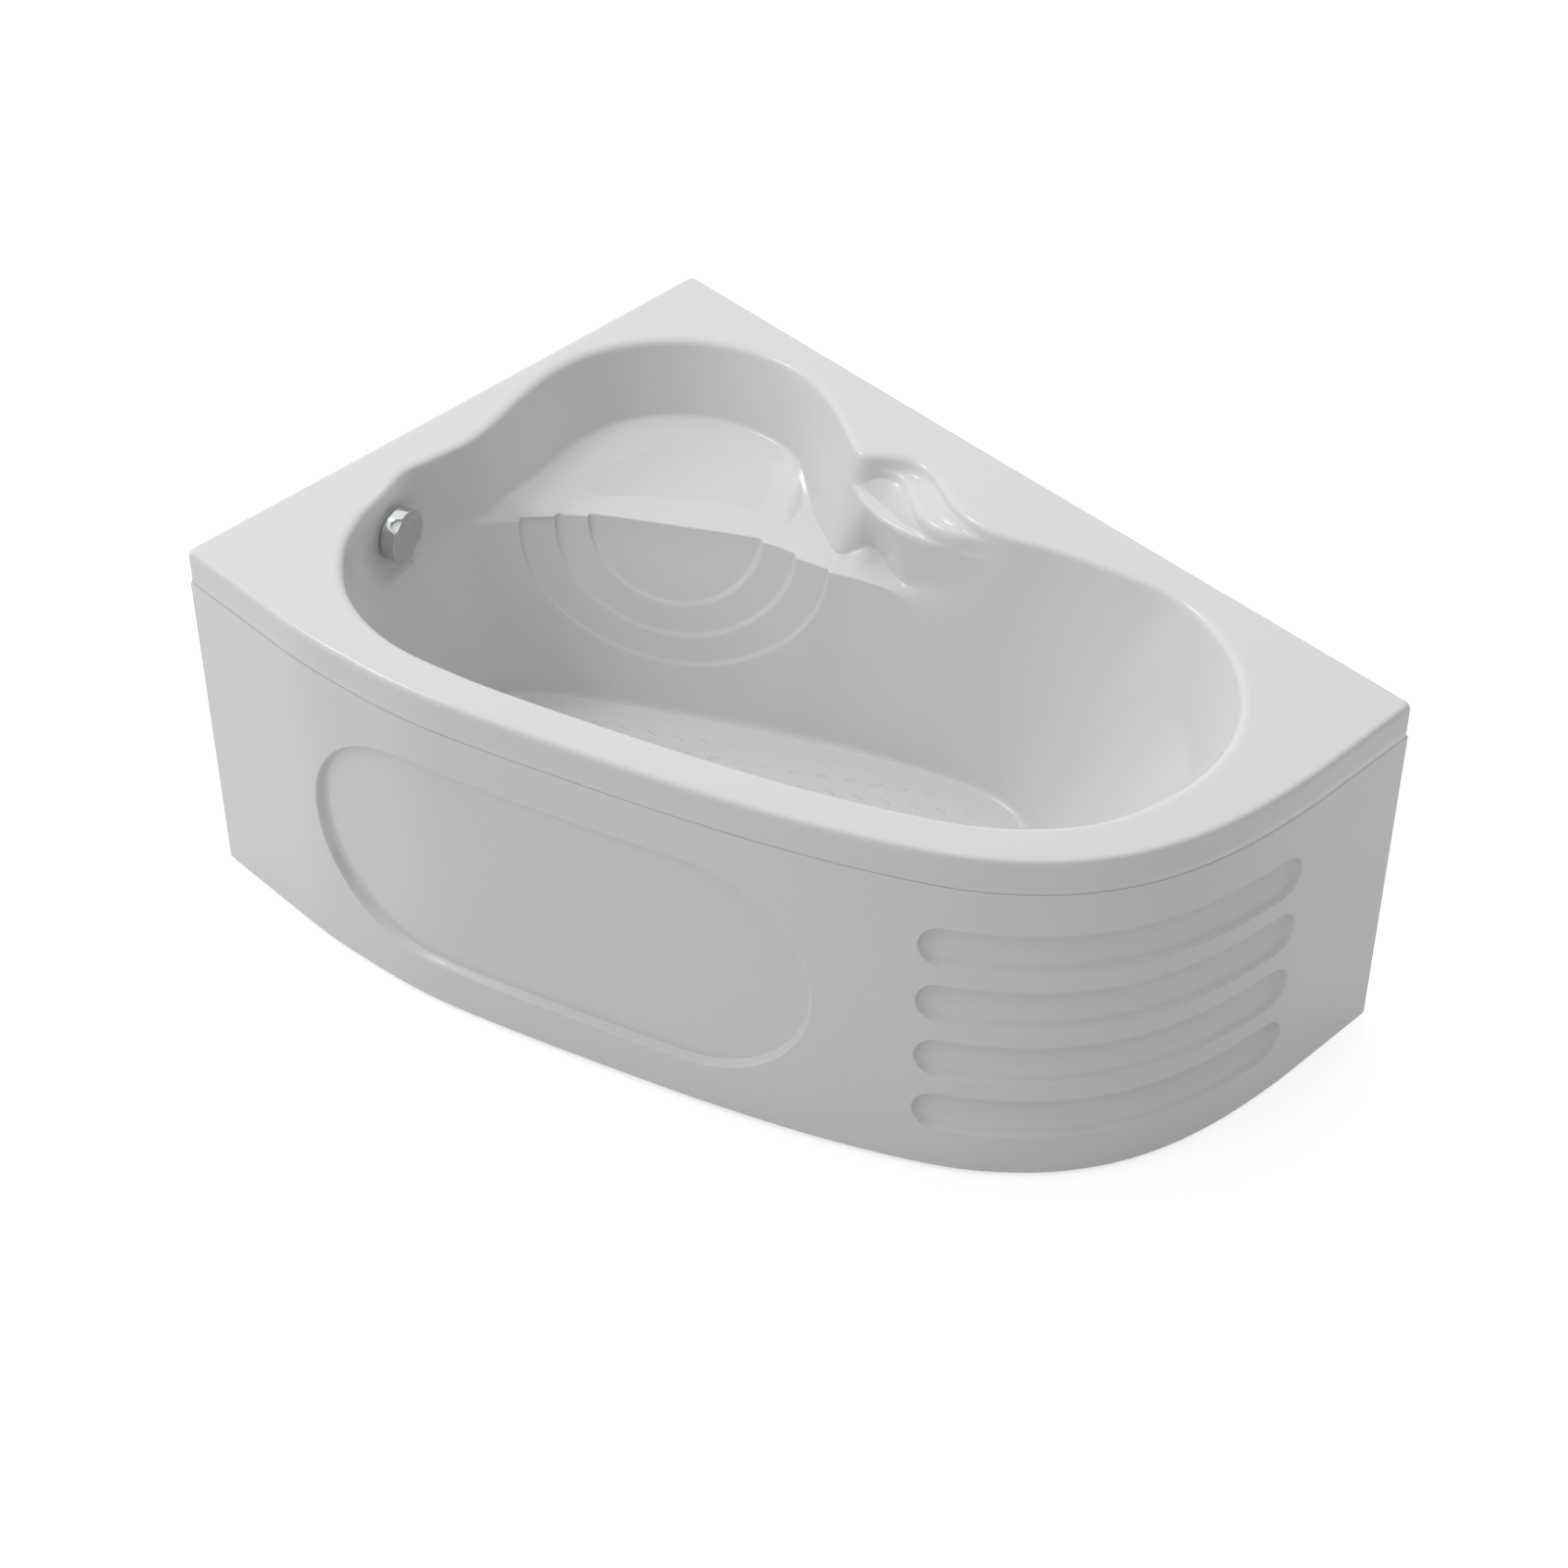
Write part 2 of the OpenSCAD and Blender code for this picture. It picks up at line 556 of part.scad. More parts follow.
// Recess with round ends between two lengths, as a solid between two insets that follows the wall.
// Each station is a length along the front and half the height of the recess there.
middle_lengths = [for (i = [1 : len(front_lengths) - 2]) (front_lengths[i] + front_lengths[i + 1]) / 2];
end_steps = 6;
end_angle = 90 / end_steps;
function stations(s1, s2, r, grow) = concat(
    [for (k = [0 : end_steps - 1])
        let(a = (k + 1 / 2) * end_angle) [s1 + r - (r + grow) * cos(a), (r + grow) * sin(a)]],
    [for (s = middle_lengths) if (s > s1 + r + over && s < s2 - r - over) [s, r + grow]],
    [for (k = [end_steps - 1 : -1 : 0])
        let(a = (k + 1 / 2) * end_angle) [s2 - r + (r + grow) * cos(a), (r + grow) * sin(a)]]
);
module recess(s1, s2, z1, z2, in1, in2, grow) {
    list = stations(s1, s2, (z2 - z1) / 2, grow);
    mid = (z1 + z2) / 2;
    n = len(list);
    points = [for (in = [in1, in2], side = [1, -1], p = list)
        at_high(front_at(p[0], in), mid + side * p[1])];
    polyhedron(points, concat(
        [for (i = [0 : n - 2]) [i, i + 1, n + i + 1, n + i]],
        [for (i = [0 : n - 2]) [2 * n + i, 3 * n + i, 3 * n + i + 1, 2 * n + i + 1]],
        [for (i = [0 : n - 2]) [i, 2 * n + i, 2 * n + i + 1, i + 1]],
        [for (i = [0 : n - 2]) [n + i, n + i + 1, 3 * n + i + 1, 3 * n + i]],
        [[0, n, 3 * n, 2 * n], [n - 1, 3 * n - 1, 4 * n - 1, 2 * n - 1]]
    ));
}
oval_from = oval_span_share[0] * front_total;
oval_to = oval_span_share[1] * front_total;
slot_from = slot_span_share[0] * front_total;
slot_to = slot_span_share[1] * front_total;
recess_z = bath_high - recess_top;
function slot_top(k) = recess_z - k * slot_pitch;

// Each recess as its two lengths, its two heights and its depth
recesses = concat(
    [[oval_from, oval_to, recess_z - oval_high, recess_z, oval_depth]],
    [for (k = [0 : slot_count - 1]) [slot_from, slot_to, slot_top(k) - slot_high, slot_top(k), slot_depth]]
);
module front_panel() {
    side = shell_wall + panel_wall;
    color("whitesmoke") resize([0, 0, 0]) difference() {
        union() {
            band_wall(panel_end_gap, front_total - panel_end_gap, 0, panel_wall, panel_low, panel_top);
            front_bar(side, front_total - side, [
                [panel_wall / 2, shoulder_top - shoulder_high], [panel_wall / 2, shoulder_top],
                [tongue_inset, shoulder_top], [tongue_inset, panel_top + tongue_rise],
                [tongue_inset + tongue_wall, panel_top + tongue_rise],
                [tongue_inset + tongue_wall, shoulder_top - shoulder_high]
            ]);
            for (r = recesses)
                recess(r[0], r[1], r[2], r[3], panel_wall / 2, r[4] + panel_wall, panel_wall);
        }
        for (r = recesses) recess(r[0], r[1], r[2], r[3], -panel_wall, r[4], 0);
    }
}

// Steel frame: middle lines of the tubes in plan
rail_back_y = bath_wid / 2 - rail_inset;
rail_left_x = -bath_len / 2 + rail_inset;
rail_right_x = bath_len / 2 - rail_inset - tube_side / 2;
tube_half = tube_side / 2;
back_from = [rail_left_x - tube_half, rail_back_y];
back_to = [rail_right_x + tube_side, rail_back_y];
left_from = [rail_left_x, rail_back_y - tube_half];
left_to = [rail_left_x, -bath_wid / 2 + rail_inset - tube_half];
right_from = [rail_right_x, rail_back_y - tube_half];
right_to = [rail_right_x, place([0, 0.318])[1]];
corner_to = place([0.747, 0.675]);
front_to = [rail_left_x + tube_half, place([0, 0.940])[1]];
side_x = [1, 0];
side_y = [0, 1];
right_dir = unit(right_to - right_from);
corner_dir = unit(corner_to - right_to);
front_dir = unit(front_to - corner_to);

function meet(a, u, b, v) = a + u * cross2(b - a, v) / cross2(u, v);
function rail_plan(p, q, half, end_p, end_q, more) = let(u = unit(q - p), n = left_of(u) * half) [
    meet(p + n, u, p, end_p) - u * more, meet(q + n, u, q, end_q) + u * more,
    meet(q - n, u, q, end_q) + u * more, meet(p - n, u, p, end_p) - u * more
];
// Square tube in plan between two places, with each end cut along a direction
module rail(p, q, end_p, end_q, z = rail_low) {
    color("gray") translate([0, 0, z]) difference() {
        linear_extrude(tube_side) polygon(rail_plan(p, q, tube_half, end_p, end_q, 0));
        translate([0, 0, tube_wall]) linear_extrude(tube_side - 2 * tube_wall)
            polygon(rail_plan(p, q, tube_half - tube_wall, end_p, end_q, tube_side));
    }
}

// Feet: place of each one in plan, on the middle line of its rail
foot_inset = 72;
foot_shares = [0.5, 0.52, 0.93];
foot_places = [
    [rail_left_x + foot_inset, rail_back_y],
    [rail_right_x - foot_inset, rail_back_y],
    mix(right_to, corner_to, foot_shares[0]),
    mix(corner_to, front_to, foot_shares[1]),
    mix(corner_to, front_to, foot_shares[2])
];
stud_play = 0.5;
stud_hole_d = stud_d + 2 * stud_play;
module stud_holes(places) {
    for (p = places) translate(at_high(p, rail_low - over))
        cylinder(d = stud_hole_d, h = tube_side + 2 * over, $fn = round_fn);
}
module back_rail() {
    color("gray") difference() {
        rail(back_from, back_to, side_y, side_y);
        stud_holes([foot_places[0], foot_places[1]]);
    }
}
module left_rail() { rail(left_from, left_to, side_x, side_x); }
module right_rail() { rail(right_from, right_to, side_x, corner_dir - right_dir); }
module corner_rail() {
    color("gray") difference() {
        rail(right_to, corner_to, corner_dir - right_dir, front_dir - corner_dir);
        stud_holes([foot_places[2]]);
    }
}
module front_rail() {
    color("gray") difference() {
        rail(corner_to, front_to, front_dir - corner_dir, side_y);
        stud_holes([foot_places[3], foot_places[4]]);
    }
}
cross_shares = [0.285, 0.440, 0.600];
function cross_x(k) = place([cross_shares[k], 0])[0];
function cross_from(k) = [cross_x(k), rail_back_y - tube_half];
function cross_to(k) = meet(cross_from(k), side_y, corner_to - left_of(front_dir) * tube_half, front_dir);
module cross_rails() {
    for (k = [0 : len(cross_shares) - 1]) rail(cross_from(k), cross_to(k), side_x, front_dir);
}
seat_rail_y = place([0, 0.245])[1];
module seat_rail() {
    rail([rail_left_x + tube_half, seat_rail_y], [cross_x(0) - tube_half, seat_rail_y], side_y, side_y);
}

// Posts between the rails and the underside of the rim or the seat
module post(p, z1, z2) {
    color("gray") translate(at_high(p, z1)) linear_extrude(z2 - z1) difference() {
        square(tube_side, center = true);
        square(tube_side - 2 * tube_wall, center = true);
    }
}
cap_high = 6;
deck_under = bath_high - shell_wall;
post_places = [
    [rail_left_x, rail_back_y],
    [rail_right_x + tube_half, rail_back_y],
    [rail_left_x, left_to[1] + tube_half],
    [rail_right_x, right_to[1] + tube_side]
];
module rim_posts() {
    for (p = post_places) post(p, rail_top, deck_under - cap_high);
}
cap_lip = 3;
module post_cap(p, z) {
    color("dimgray") translate(at_high(p, z)) translate([0, 0, cap_high / 2])
        cube([tube_side + 2 * cap_lip, tube_side + 2 * cap_lip, cap_high], center = true);
}
module post_caps() {
    for (p = post_places) post_cap(p, deck_under - cap_high);
}
seat_prop_at = [place([0.165, 0])[0], seat_rail_y];
module seat_prop() { post(seat_prop_at, rail_top, seat_under - seat_gap - board_thick); }

// Feet
nut_high = 10;
nut_across = 19;
pad_neck_d = 28;
pad_neck_high = 10;
stud_foot_z = 8;
stud_spare = 4;
stud_over = foot_travel + stud_spare;
module hex(across, high, hole) {
    difference() {
        cylinder(d = across / cos(30), h = high, $fn = 6);
        translate([0, 0, -over]) cylinder(d = hole, h = high + 2 * over, $fn = round_fn);
    }
}
module weld_nuts() {
    color("silver") for (p = foot_places) translate(at_high(p, rail_low - nut_high))
        hex(nut_across, nut_high, stud_d + 2 * run_gap);
}
module lock_nuts() {
    color("silver") for (p = foot_places) translate(at_high(p, rail_low - 2 * nut_high))
        hex(nut_across, nut_high, stud_d + 2 * run_gap);
}
module foot_stud(k) {
    color("silver") translate(at_high(foot_places[k], stud_foot_z))
        cylinder(d = stud_d, h = rail_top + stud_over - stud_foot_z, $fn = round_fn);
}
module foot_pad(k) {
    color("dimgray") translate(at_high(foot_places[k], 0)) rotate_extrude($fn = round_fn) polygon([
        [0, 0], [pad_d / 2, 0], [pad_d / 2, pad_high / 3], [pad_neck_d / 2, pad_high - pad_neck_high / 2],
        [pad_neck_d / 2, pad_high], [stud_d / 2 + run_gap, pad_high],
            [stud_d / 2 + run_gap, stud_foot_z], [0, stud_foot_z]
    ]);
}

// Panel fixings: wood blocks on the panel, steel strips on the rails, screws from below
bracket_shares = [0.057, 0.571, 0.947];
bracket_inner = [66, 84, 58];
strip_wide = 30;
strip_thick = 3;
block_long = 32;
block_deep = 22;
block_high = 40;
panel_screw_d = 5;
module at_front(s, inset, z) {
    n = front_normal(s);
    translate(at_high(front_at(s, inset), z)) rotate([0, 0, atan2(n[1], n[0])]) children();
}
module panel_brackets() {
    color("silver") for (k = [0 : len(bracket_shares) - 1])
        at_front(bracket_shares[k] * front_total, panel_wall + 2 * seat_gap, rail_top) difference() {
            translate([0, -strip_wide / 2, 0]) cube([bracket_inner[k], strip_wide, strip_thick]);
            translate([block_deep / 2, 0, -over])
                cylinder(d = panel_screw_d + 2 * seat_gap, h = strip_thick + 2 * over, $fn = round_fn);
        }
}
module panel_blocks() {
    color("burlywood") for (share = bracket_shares)
        at_front(share * front_total, panel_wall + seat_gap, rail_top + strip_thick) difference() {
            translate([0, -block_long / 2, 0]) cube([block_deep, block_long, block_high]);
            translate([block_deep / 2, 0, -over])
                cylinder(d = panel_screw_d, h = block_high / 2 + over, $fn = round_fn);
        }
}
screw_head_d = 9;
screw_head_high = 3;
module panel_screws() {
    color("silver") for (share = bracket_shares)
        at_front(share * front_total, panel_wall + seat_gap + block_deep / 2, rail_top) {
            translate([0, 0, -screw_head_high])
                cylinder(d = screw_head_d, h = screw_head_high, $fn = round_fn);
            cylinder(d = panel_screw_d, h = strip_thick + block_high / 2 - over, $fn = round_fn);
        }
}
clip_shares = [0.05, 0.27, 0.52, 0.74, 0.95];
clip_wide = 24;
clip_thick = 2;
clip_reach = 18;
clip_drop = 44;
module panel_clips() {
    color("silver") for (share = clip_shares)
        at_front(share * front_total, tongue_inset + tongue_wall + seat_gap, deck_under) {
        translate([0, -clip_wide / 2, -clip_drop]) cube([clip_thick, clip_wide, clip_drop]);
        translate([0, -clip_wide / 2, -clip_thick]) cube([clip_reach, clip_wide, clip_thick]);
    }
}

// Wall brackets: angle plates on the back rail whose upright leaf meets the wall
wall_bracket_shares = [0.22, 0.78];
leaf_high = 70;
leaf_wide = 40;
leaf_thick = 3;
wall_hole_d = 8;
bolt_d = 8;
bolt_head_d = 14;
bolt_head_high = 5;
wall_line_gap = 1;
function wall_bracket_x(k) = place([wall_bracket_shares[k], 0])[0];
wall_y = bath_wid / 2 - wall_line_gap;
leaf_hole_z = rail_top + leaf_high - leaf_wide / 2;
module wall_brackets() {
    color("silver") for (k = [0, 1]) translate([wall_bracket_x(k), 0, 0]) difference() {
        union() {
            translate([-leaf_wide / 2, wall_y - leaf_thick, rail_top])
                cube([leaf_wide, leaf_thick, leaf_high]);
            translate([-leaf_wide / 2, rail_back_y - tube_half, rail_top])
                cube([leaf_wide, wall_y - rail_back_y + tube_half, leaf_thick]);
        }
        translate([0, wall_y + over, leaf_hole_z]) rotate([90, 0, 0])
            cylinder(d = wall_hole_d, h = leaf_thick + 2 * over, $fn = round_fn);
        translate([0, rail_back_y, rail_top - over])
            cylinder(d = bolt_d + 2 * seat_gap, h = leaf_thick + 2 * over, $fn = round_fn);
    }
}
module bracket_bolts() {
    color("silver") for (k = [0, 1]) translate([wall_bracket_x(k), rail_back_y, rail_top + leaf_thick])
        cylinder(d = bolt_head_d / cos(30), h = bolt_head_high, $fn = 6);
}

// Waste: heights are counted from the floor of the well
well_z = bath_high - well_depth;
flange_high = 3;
gasket_thick = 3;
neck_play = 2;
neck_r = waste_hole_d / 2 - neck_play;
neck_wall = 3;
neck_drop = 26;
cup_wall = 5;
cup_r = neck_r + seat_gap + cup_wall;
cup_drop = 60;
drop_pipe_r = 20;
pipe_wall = 3;
trap_drop = 170;
trap_low = well_z - trap_drop;
trap_high = 62;
trap_top = trap_low + trap_high;
pipe_dip = 22;
drop_pipe_low = trap_top - pipe_dip;
cup_floor = well_z - cup_drop + cup_wall;
stem_r = 4;
guide_r = 8;
guide_low = 40;
guide_high = 20;
guide_rib = 3;
cable_side = 26;
cable_boss_r = 5;
cable_boss_long = 46;
hose_drop = 45;
hose_level = well_z - hose_drop;
hose_bore_r = hose_d / 2 - pipe_wall;
spigot_r = hose_bore_r - seat_gap;
spigot_long = 60;
module at_waste(z) { translate(at_high(waste_at, z)) rotate([0, 0, knob_turn]) children(); }
module ring(r_out, r_in, h) {
    difference() {
        cylinder(r = r_out, h = h, $fn = round_fn);
        translate([0, 0, -over]) cylinder(r = r_in, h = h + 2 * over, $fn = round_fn);
    }
}
module waste_flange() {
    color("silver") at_waste(well_z) rotate_extrude($fn = round_fn) polygon([
        [neck_r - neck_wall, -neck_drop], [neck_r, -neck_drop], [neck_r, 0], [flange_d / 2, 0],
        [flange_d / 2, flange_high / 3], [flange_d / 2 - flange_high, flange_high],
            [neck_r - neck_wall, flange_high]
    ]);
}
module waste_gasket() {
    color("dimgray") at_waste(floor_under - gasket_thick)
        ring(flange_d / 2 - over, neck_r + seat_gap, gasket_thick);
}
body_top = floor_under - gasket_thick;
module waste_body() {
    color("whitesmoke") at_waste(0) difference() {
        union() {
            translate([0, 0, body_top - cup_wall]) cylinder(r = flange_d / 2, h = cup_wall, $fn = round_fn);
            translate([0, 0, well_z - cup_drop])
                cylinder(r = cup_r, h = body_top - well_z + cup_drop, $fn = round_fn);
            translate([0, 0, drop_pipe_low])
                cylinder(r = drop_pipe_r, h = well_z - cup_drop - drop_pipe_low + over, $fn = round_fn);
            translate([-spigot_long, 0, hose_level]) rotate([0, 90, 0])
                cylinder(r = spigot_r, h = spigot_long - cup_r + cup_wall, $fn = round_fn);
            translate([-cable_boss_long, cable_side, hose_level]) rotate([0, 90, 0])
                cylinder(r = cable_boss_r, h = cable_boss_long - cup_r / 2, $fn = round_fn);
        }
        translate([0, 0, cup_floor]) cylinder(r = neck_r + seat_gap, h = cup_drop, $fn = round_fn);
        translate([0, 0, drop_pipe_low - over])
            cylinder(r = drop_pipe_r - pipe_wall, h = cup_floor - drop_pipe_low + 2 * over, $fn = round_fn);
        translate([-spigot_long - over, 0, hose_level]) rotate([0, 90, 0])
            cylinder(r = spigot_r - pipe_wall, h = spigot_long, $fn = round_fn);
    }
    color("whitesmoke") at_waste(well_z - guide_low) difference() {
        union() {
            cylinder(r = guide_r, h = guide_high, $fn = round_fn);
            for (a = [60, 180, 300]) rotate([0, 0, a]) translate([0, -guide_rib / 2, 0])
                cube([neck_r + seat_gap + over, guide_rib, guide_high / 2]);
        }
        translate([0, 0, -over]) cylinder(r = stem_r + run_gap, h = guide_high + 2 * over, $fn = round_fn);
    }
}
plug_r = 27;
plug_thick = 4;
plug_crown = 2;
plug_edge = 1;
stem_low = 52;
module waste_plug() {
    color("silver") at_waste(well_z + flange_high + seat_gap) {
        rotate_extrude($fn = round_fn) polygon([
            [0, 0], [plug_r - plug_edge, 0], [plug_r, plug_edge], [plug_r, plug_thick - plug_edge],
                [plug_r - plug_thick, plug_thick],
            [plug_r / 2, plug_thick + plug_crown / 2], [0, plug_thick + plug_crown]
        ]);
        translate([0, 0, -stem_low]) cylinder(r = stem_r, h = stem_low + over, $fn = round_fn);
    }
}
pin_r = 3;
pin_free = 14;
pin_long = plug_lift + pin_free;
module lifter_pin() {
    color("silver") at_waste(well_z + flange_high + seat_gap - stem_low - pin_long)
        cylinder(r = pin_r, h = pin_long, $fn = round_fn);
}

// Bottle trap under the waste, its outlet pipe runs level to the left wall
trap_r = 34;
trap_wall = 3;
socket_wall = 4;
socket_long = 28;
outlet_rise = 32;
outlet_z = trap_low + outlet_rise;
outlet_r = outlet_d / 2;
pipe_step = 1;
pipe_r = outlet_r + pipe_step;
nut_wall = 6;
slip_high = 16;
module trap_body() {
    color("whitesmoke") translate(at_high(waste_at, 0)) difference() {
        union() {
            translate([0, 0, trap_low]) cylinder(r = trap_r, h = trap_high, $fn = round_fn);
            translate([-trap_r - socket_long, 0, outlet_z]) rotate([0, 90, 0])
                cylinder(r = pipe_r + seat_gap + socket_wall, h = socket_long + trap_wall, $fn = round_fn);
        }
        translate([0, 0, trap_low - over])
            cylinder(r = trap_r - trap_wall, h = trap_high - trap_wall + over, $fn = round_fn);
        translate([0, 0, trap_top - 2 * trap_wall])
            cylinder(r = drop_pipe_r + seat_gap, h = 3 * trap_wall, $fn = round_fn);
        translate([-trap_r - socket_long - over, 0, outlet_z]) rotate([0, 90, 0])
            cylinder(r = pipe_r + seat_gap, h = socket_long + 2 * trap_wall, $fn = round_fn);
    }
}
module trap_nut() {
    color("dimgray") translate(at_high(waste_at, trap_top))
        ring(drop_pipe_r + seat_gap + nut_wall, drop_pipe_r + seat_gap, slip_high);
}
cap_wall = 3;
cleanout_high = 9;
module cleanout_cap() {
    color("dimgray") translate(at_high(waste_at, trap_low - cap_wall)) difference() {
        cylinder(r = trap_r + seat_gap + cap_wall, h = cleanout_high, $fn = round_fn);
        translate([0, 0, cap_wall]) cylinder(r = trap_r + seat_gap, h = cleanout_high, $fn = round_fn);
    }
}
outlet_end = 10;
socket_stop = 8;
outlet_depth = socket_long - socket_stop;
outlet_x = -bath_len / 2 + outlet_end;
module outlet_pipe() {
    start = waste_at[0] - trap_r - socket_long + outlet_depth;
    color("whitesmoke") translate([outlet_x, waste_at[1], outlet_z]) rotate([0, 90, 0])
        rotate_extrude($fn = round_fn) polygon([
            [outlet_r - pipe_wall, 0], [outlet_r, 0], [outlet_r, outlet_free], [pipe_r, outlet_free],
            [pipe_r, start - outlet_x], [outlet_r - pipe_wall, start - outlet_x]
        ]);
}

// Overflow: distances are counted along the knob's axis from the wall
ring_r = 37;
ring_neck_r = overflow_hole_d / 2 - neck_play;
ring_edge = 1;
body_face = -shell_wall - gasket_thick - 2 * seat_gap;
body_wall = 4;
body_r = 34;
body_flange_r = 39;
body_deep = 32;
body_back = body_face - body_wall - body_deep;
body_middle = body_face - body_wall - body_deep / 2;
spindle_r = 5;
boss_r = 10;
boss_long = 22;
knob_gap = 1.5;
knob_start = ring_thick + knob_gap;
knob_edge = 3;
knob_bore = 14;
module overflow_ring() {
    color("silver") at_knob(0) rotate_extrude($fn = round_fn) polygon([
        [ring_neck_r - neck_wall, -2 * knob_bore], [ring_neck_r, -2 * knob_bore], [ring_neck_r, seat_gap],
        [ring_r, seat_gap], [ring_r, ring_thick - ring_edge], [ring_r - ring_edge, ring_thick],
            [ring_neck_r - neck_wall, ring_thick]
    ]);
}
module overflow_gasket() {
    color("dimgray") at_knob(body_face) ring(ring_r, ring_neck_r + seat_gap, gasket_thick);
}
module overflow_body() {
    color("whitesmoke") {
        difference() {
            union() {
                at_knob(body_face - body_wall) cylinder(r = body_flange_r, h = body_wall, $fn = round_fn);
                at_knob(body_back) cylinder(r = body_r, h = body_deep + over, $fn = round_fn);
                in_waste_plane() translate([body_middle, 0, knob_z - spigot_long])
                    cylinder(r = spigot_r, h = spigot_long - body_r / 2, $fn = round_fn);
                in_waste_plane() translate([body_middle, cable_side, knob_z - body_r])
                    cylinder(r = cable_boss_r, h = body_r / 2, $fn = round_fn);
            }
            at_knob(body_back + body_wall)
                cylinder(r = body_r - body_wall, h = body_deep - body_wall, $fn = round_fn);
            at_knob(body_back + body_deep - over)
                cylinder(r = ring_neck_r + seat_gap, h = body_deep, $fn = round_fn);
            at_knob(body_back - over) cylinder(r = boss_r - over, h = body_wall + 2 * over, $fn = round_fn);
            in_waste_plane() translate([body_middle, 0, knob_z - spigot_long - over])
                cylinder(r = spigot_r - pipe_wall, h = spigot_long - body_r / 2, $fn = round_fn);
        }
        at_knob(body_back) ring(boss_r, spindle_r + run_gap, boss_long);
    }
}
module overflow_knob() {
    color("silver") at_knob(knob_start) difference() {
        rotate_extrude($fn = round_fn) polygon([
            [0, 0], [knob_d / 2 - knob_edge, 0], [knob_d / 2, knob_edge / 2],
                [knob_d / 2, knob_thick - knob_edge],
            [knob_d / 2 - knob_edge, knob_thick], [0, knob_thick]
        ]);
        translate([0, 0, -over]) cylinder(r = spindle_r, h = knob_bore + over, $fn = round_fn);
        knob_grips();
    }
}
// Two scooped grips on the rim of the knob, opposite each other
grip_r = 34;
grip_deep = 5;
grip_back = 5;
module knob_grips() {
    for (side = [-1, 1]) translate([side * (knob_d / 2 + grip_r - grip_deep), 0, grip_back])
        cylinder(r = grip_r, h = knob_thick, $fn = round_fn);
}
cam_r = 18;
cam_thick = 6;
cam_gap = 1;
cam_back = body_back - cam_gap - cam_thick;
module knob_spindle() {
    color("silver") at_knob(cam_back)
        cylinder(r = spindle_r, h = knob_start + knob_bore - cam_back, $fn = round_fn);
}
cam_pin_r = 2.5;
module cable_cam() {
    color("gold") at_knob(cam_back) {
        difference() {
            cylinder(r = cam_r, h = cam_thick, $fn = round_fn);
            translate([0, 0, -over]) cylinder(r = spindle_r, h = cam_thick + 2 * over, $fn = round_fn);
        }
        translate([cam_r - 2 * cam_pin_r, 0, -cam_pin_r])
            cylinder(r = cam_pin_r, h = cam_pin_r, $fn = round_fn);
    }
}

// Hose and cable: straight down behind the well, a bend, and level under it
bend_r = 45;
rib_pitch = 6;
rib_deep = 1.5;
rib_shares = [0.125, 0.5, 0.625, 1];
plain_end = 14;
hose_top = knob_z - body_flange_r - over;
module ribbed_pipe(long) {
    count = floor((long - 2 * plain_end) / rib_pitch);
    start = (long - count * rib_pitch) / 2;
    rotate_extrude($fn = round_fn) polygon(concat(
        [[hose_bore_r, 0], [hose_d / 2, 0], [hose_d / 2, start]],
        [for (k = [0 : count - 1], step = [1 : 4]) [
            hose_d / 2 - (step == 1 || step == 2 ? rib_deep : 0),
            start + (k + rib_shares[step - 1]) * rib_pitch
        ]],
        [[hose_d / 2, long], [hose_bore_r, long]]
    ));
}
bend_x = body_middle + bend_r;
hose_stop = 2;
hose_end = waste_reach - cup_r - hose_stop;
module bend(r_out, r_in) {
    translate([bend_x, 0, hose_level + bend_r]) rotate([90, 0, 0]) rotate([0, 0, 180])
        rotate_extrude(angle = 90, $fn = round_fn) translate([bend_r, 0]) difference() {
            circle(r = r_out, $fn = round_fn);
            circle(r = r_in, $fn = round_fn);
        }
}
module overflow_hose() {
    color("gray") in_waste_plane() {
        translate([body_middle, 0, hose_level + bend_r]) ribbed_pipe(hose_top - hose_level - bend_r);
        bend(hose_d / 2, hose_bore_r);
        translate([bend_x, 0, hose_level]) rotate([0, 90, 0]) ribbed_pipe(hose_end - bend_x);
    }
}
hose_clip_wall = 1.5;
hose_clip_high = 9;
module hose_clips() {
    r = hose_d / 2 + seat_gap;
    color("silver") in_waste_plane() {
        translate([body_middle, 0, hose_top - hose_clip_high - hose_stop])
            ring(r + hose_clip_wall, r, hose_clip_high);
        translate([hose_end - hose_clip_high - hose_stop, 0, hose_level]) rotate([0, 90, 0])
            ring(r + hose_clip_wall, r, hose_clip_high);
    }
}
module control_cable() {
    cable_top = knob_z - body_r;
    cable_end = waste_reach - cable_boss_long;
    color("black") in_waste_plane() translate([0, cable_side, 0]) {
        translate([body_middle, 0, hose_level + bend_r])
            cylinder(d = cable_d, h = cable_top - hose_level - bend_r, $fn = round_fn);
        translate([bend_x, 0, hose_level + bend_r]) rotate([90, 0, 0]) rotate([0, 0, 180])
            rotate_extrude(angle = 90, $fn = round_fn) translate([bend_r, 0])
                circle(d = cable_d, $fn = round_fn);
        translate([bend_x, 0, hose_level]) rotate([0, 90, 0])
            cylinder(d = cable_d, h = cable_end - bend_x, $fn = round_fn);
    }
}
tub_shell();
base_board();
seat_board();
front_panel();
back_rail();
left_rail();
right_rail();
corner_rail();
front_rail();
cross_rails();
seat_rail();
rim_posts();
post_caps();
seat_prop();
weld_nuts();
lock_nuts();
foot_stud(0);  // foot_stud_1
foot_stud(1);  // foot_stud_2
foot_stud(2);  // foot_stud_3
foot_stud(3);  // foot_stud_4
foot_stud(4);  // foot_stud_5
foot_pad(0);  // foot_pad_1
foot_pad(1);  // foot_pad_2
foot_pad(2);  // foot_pad_3
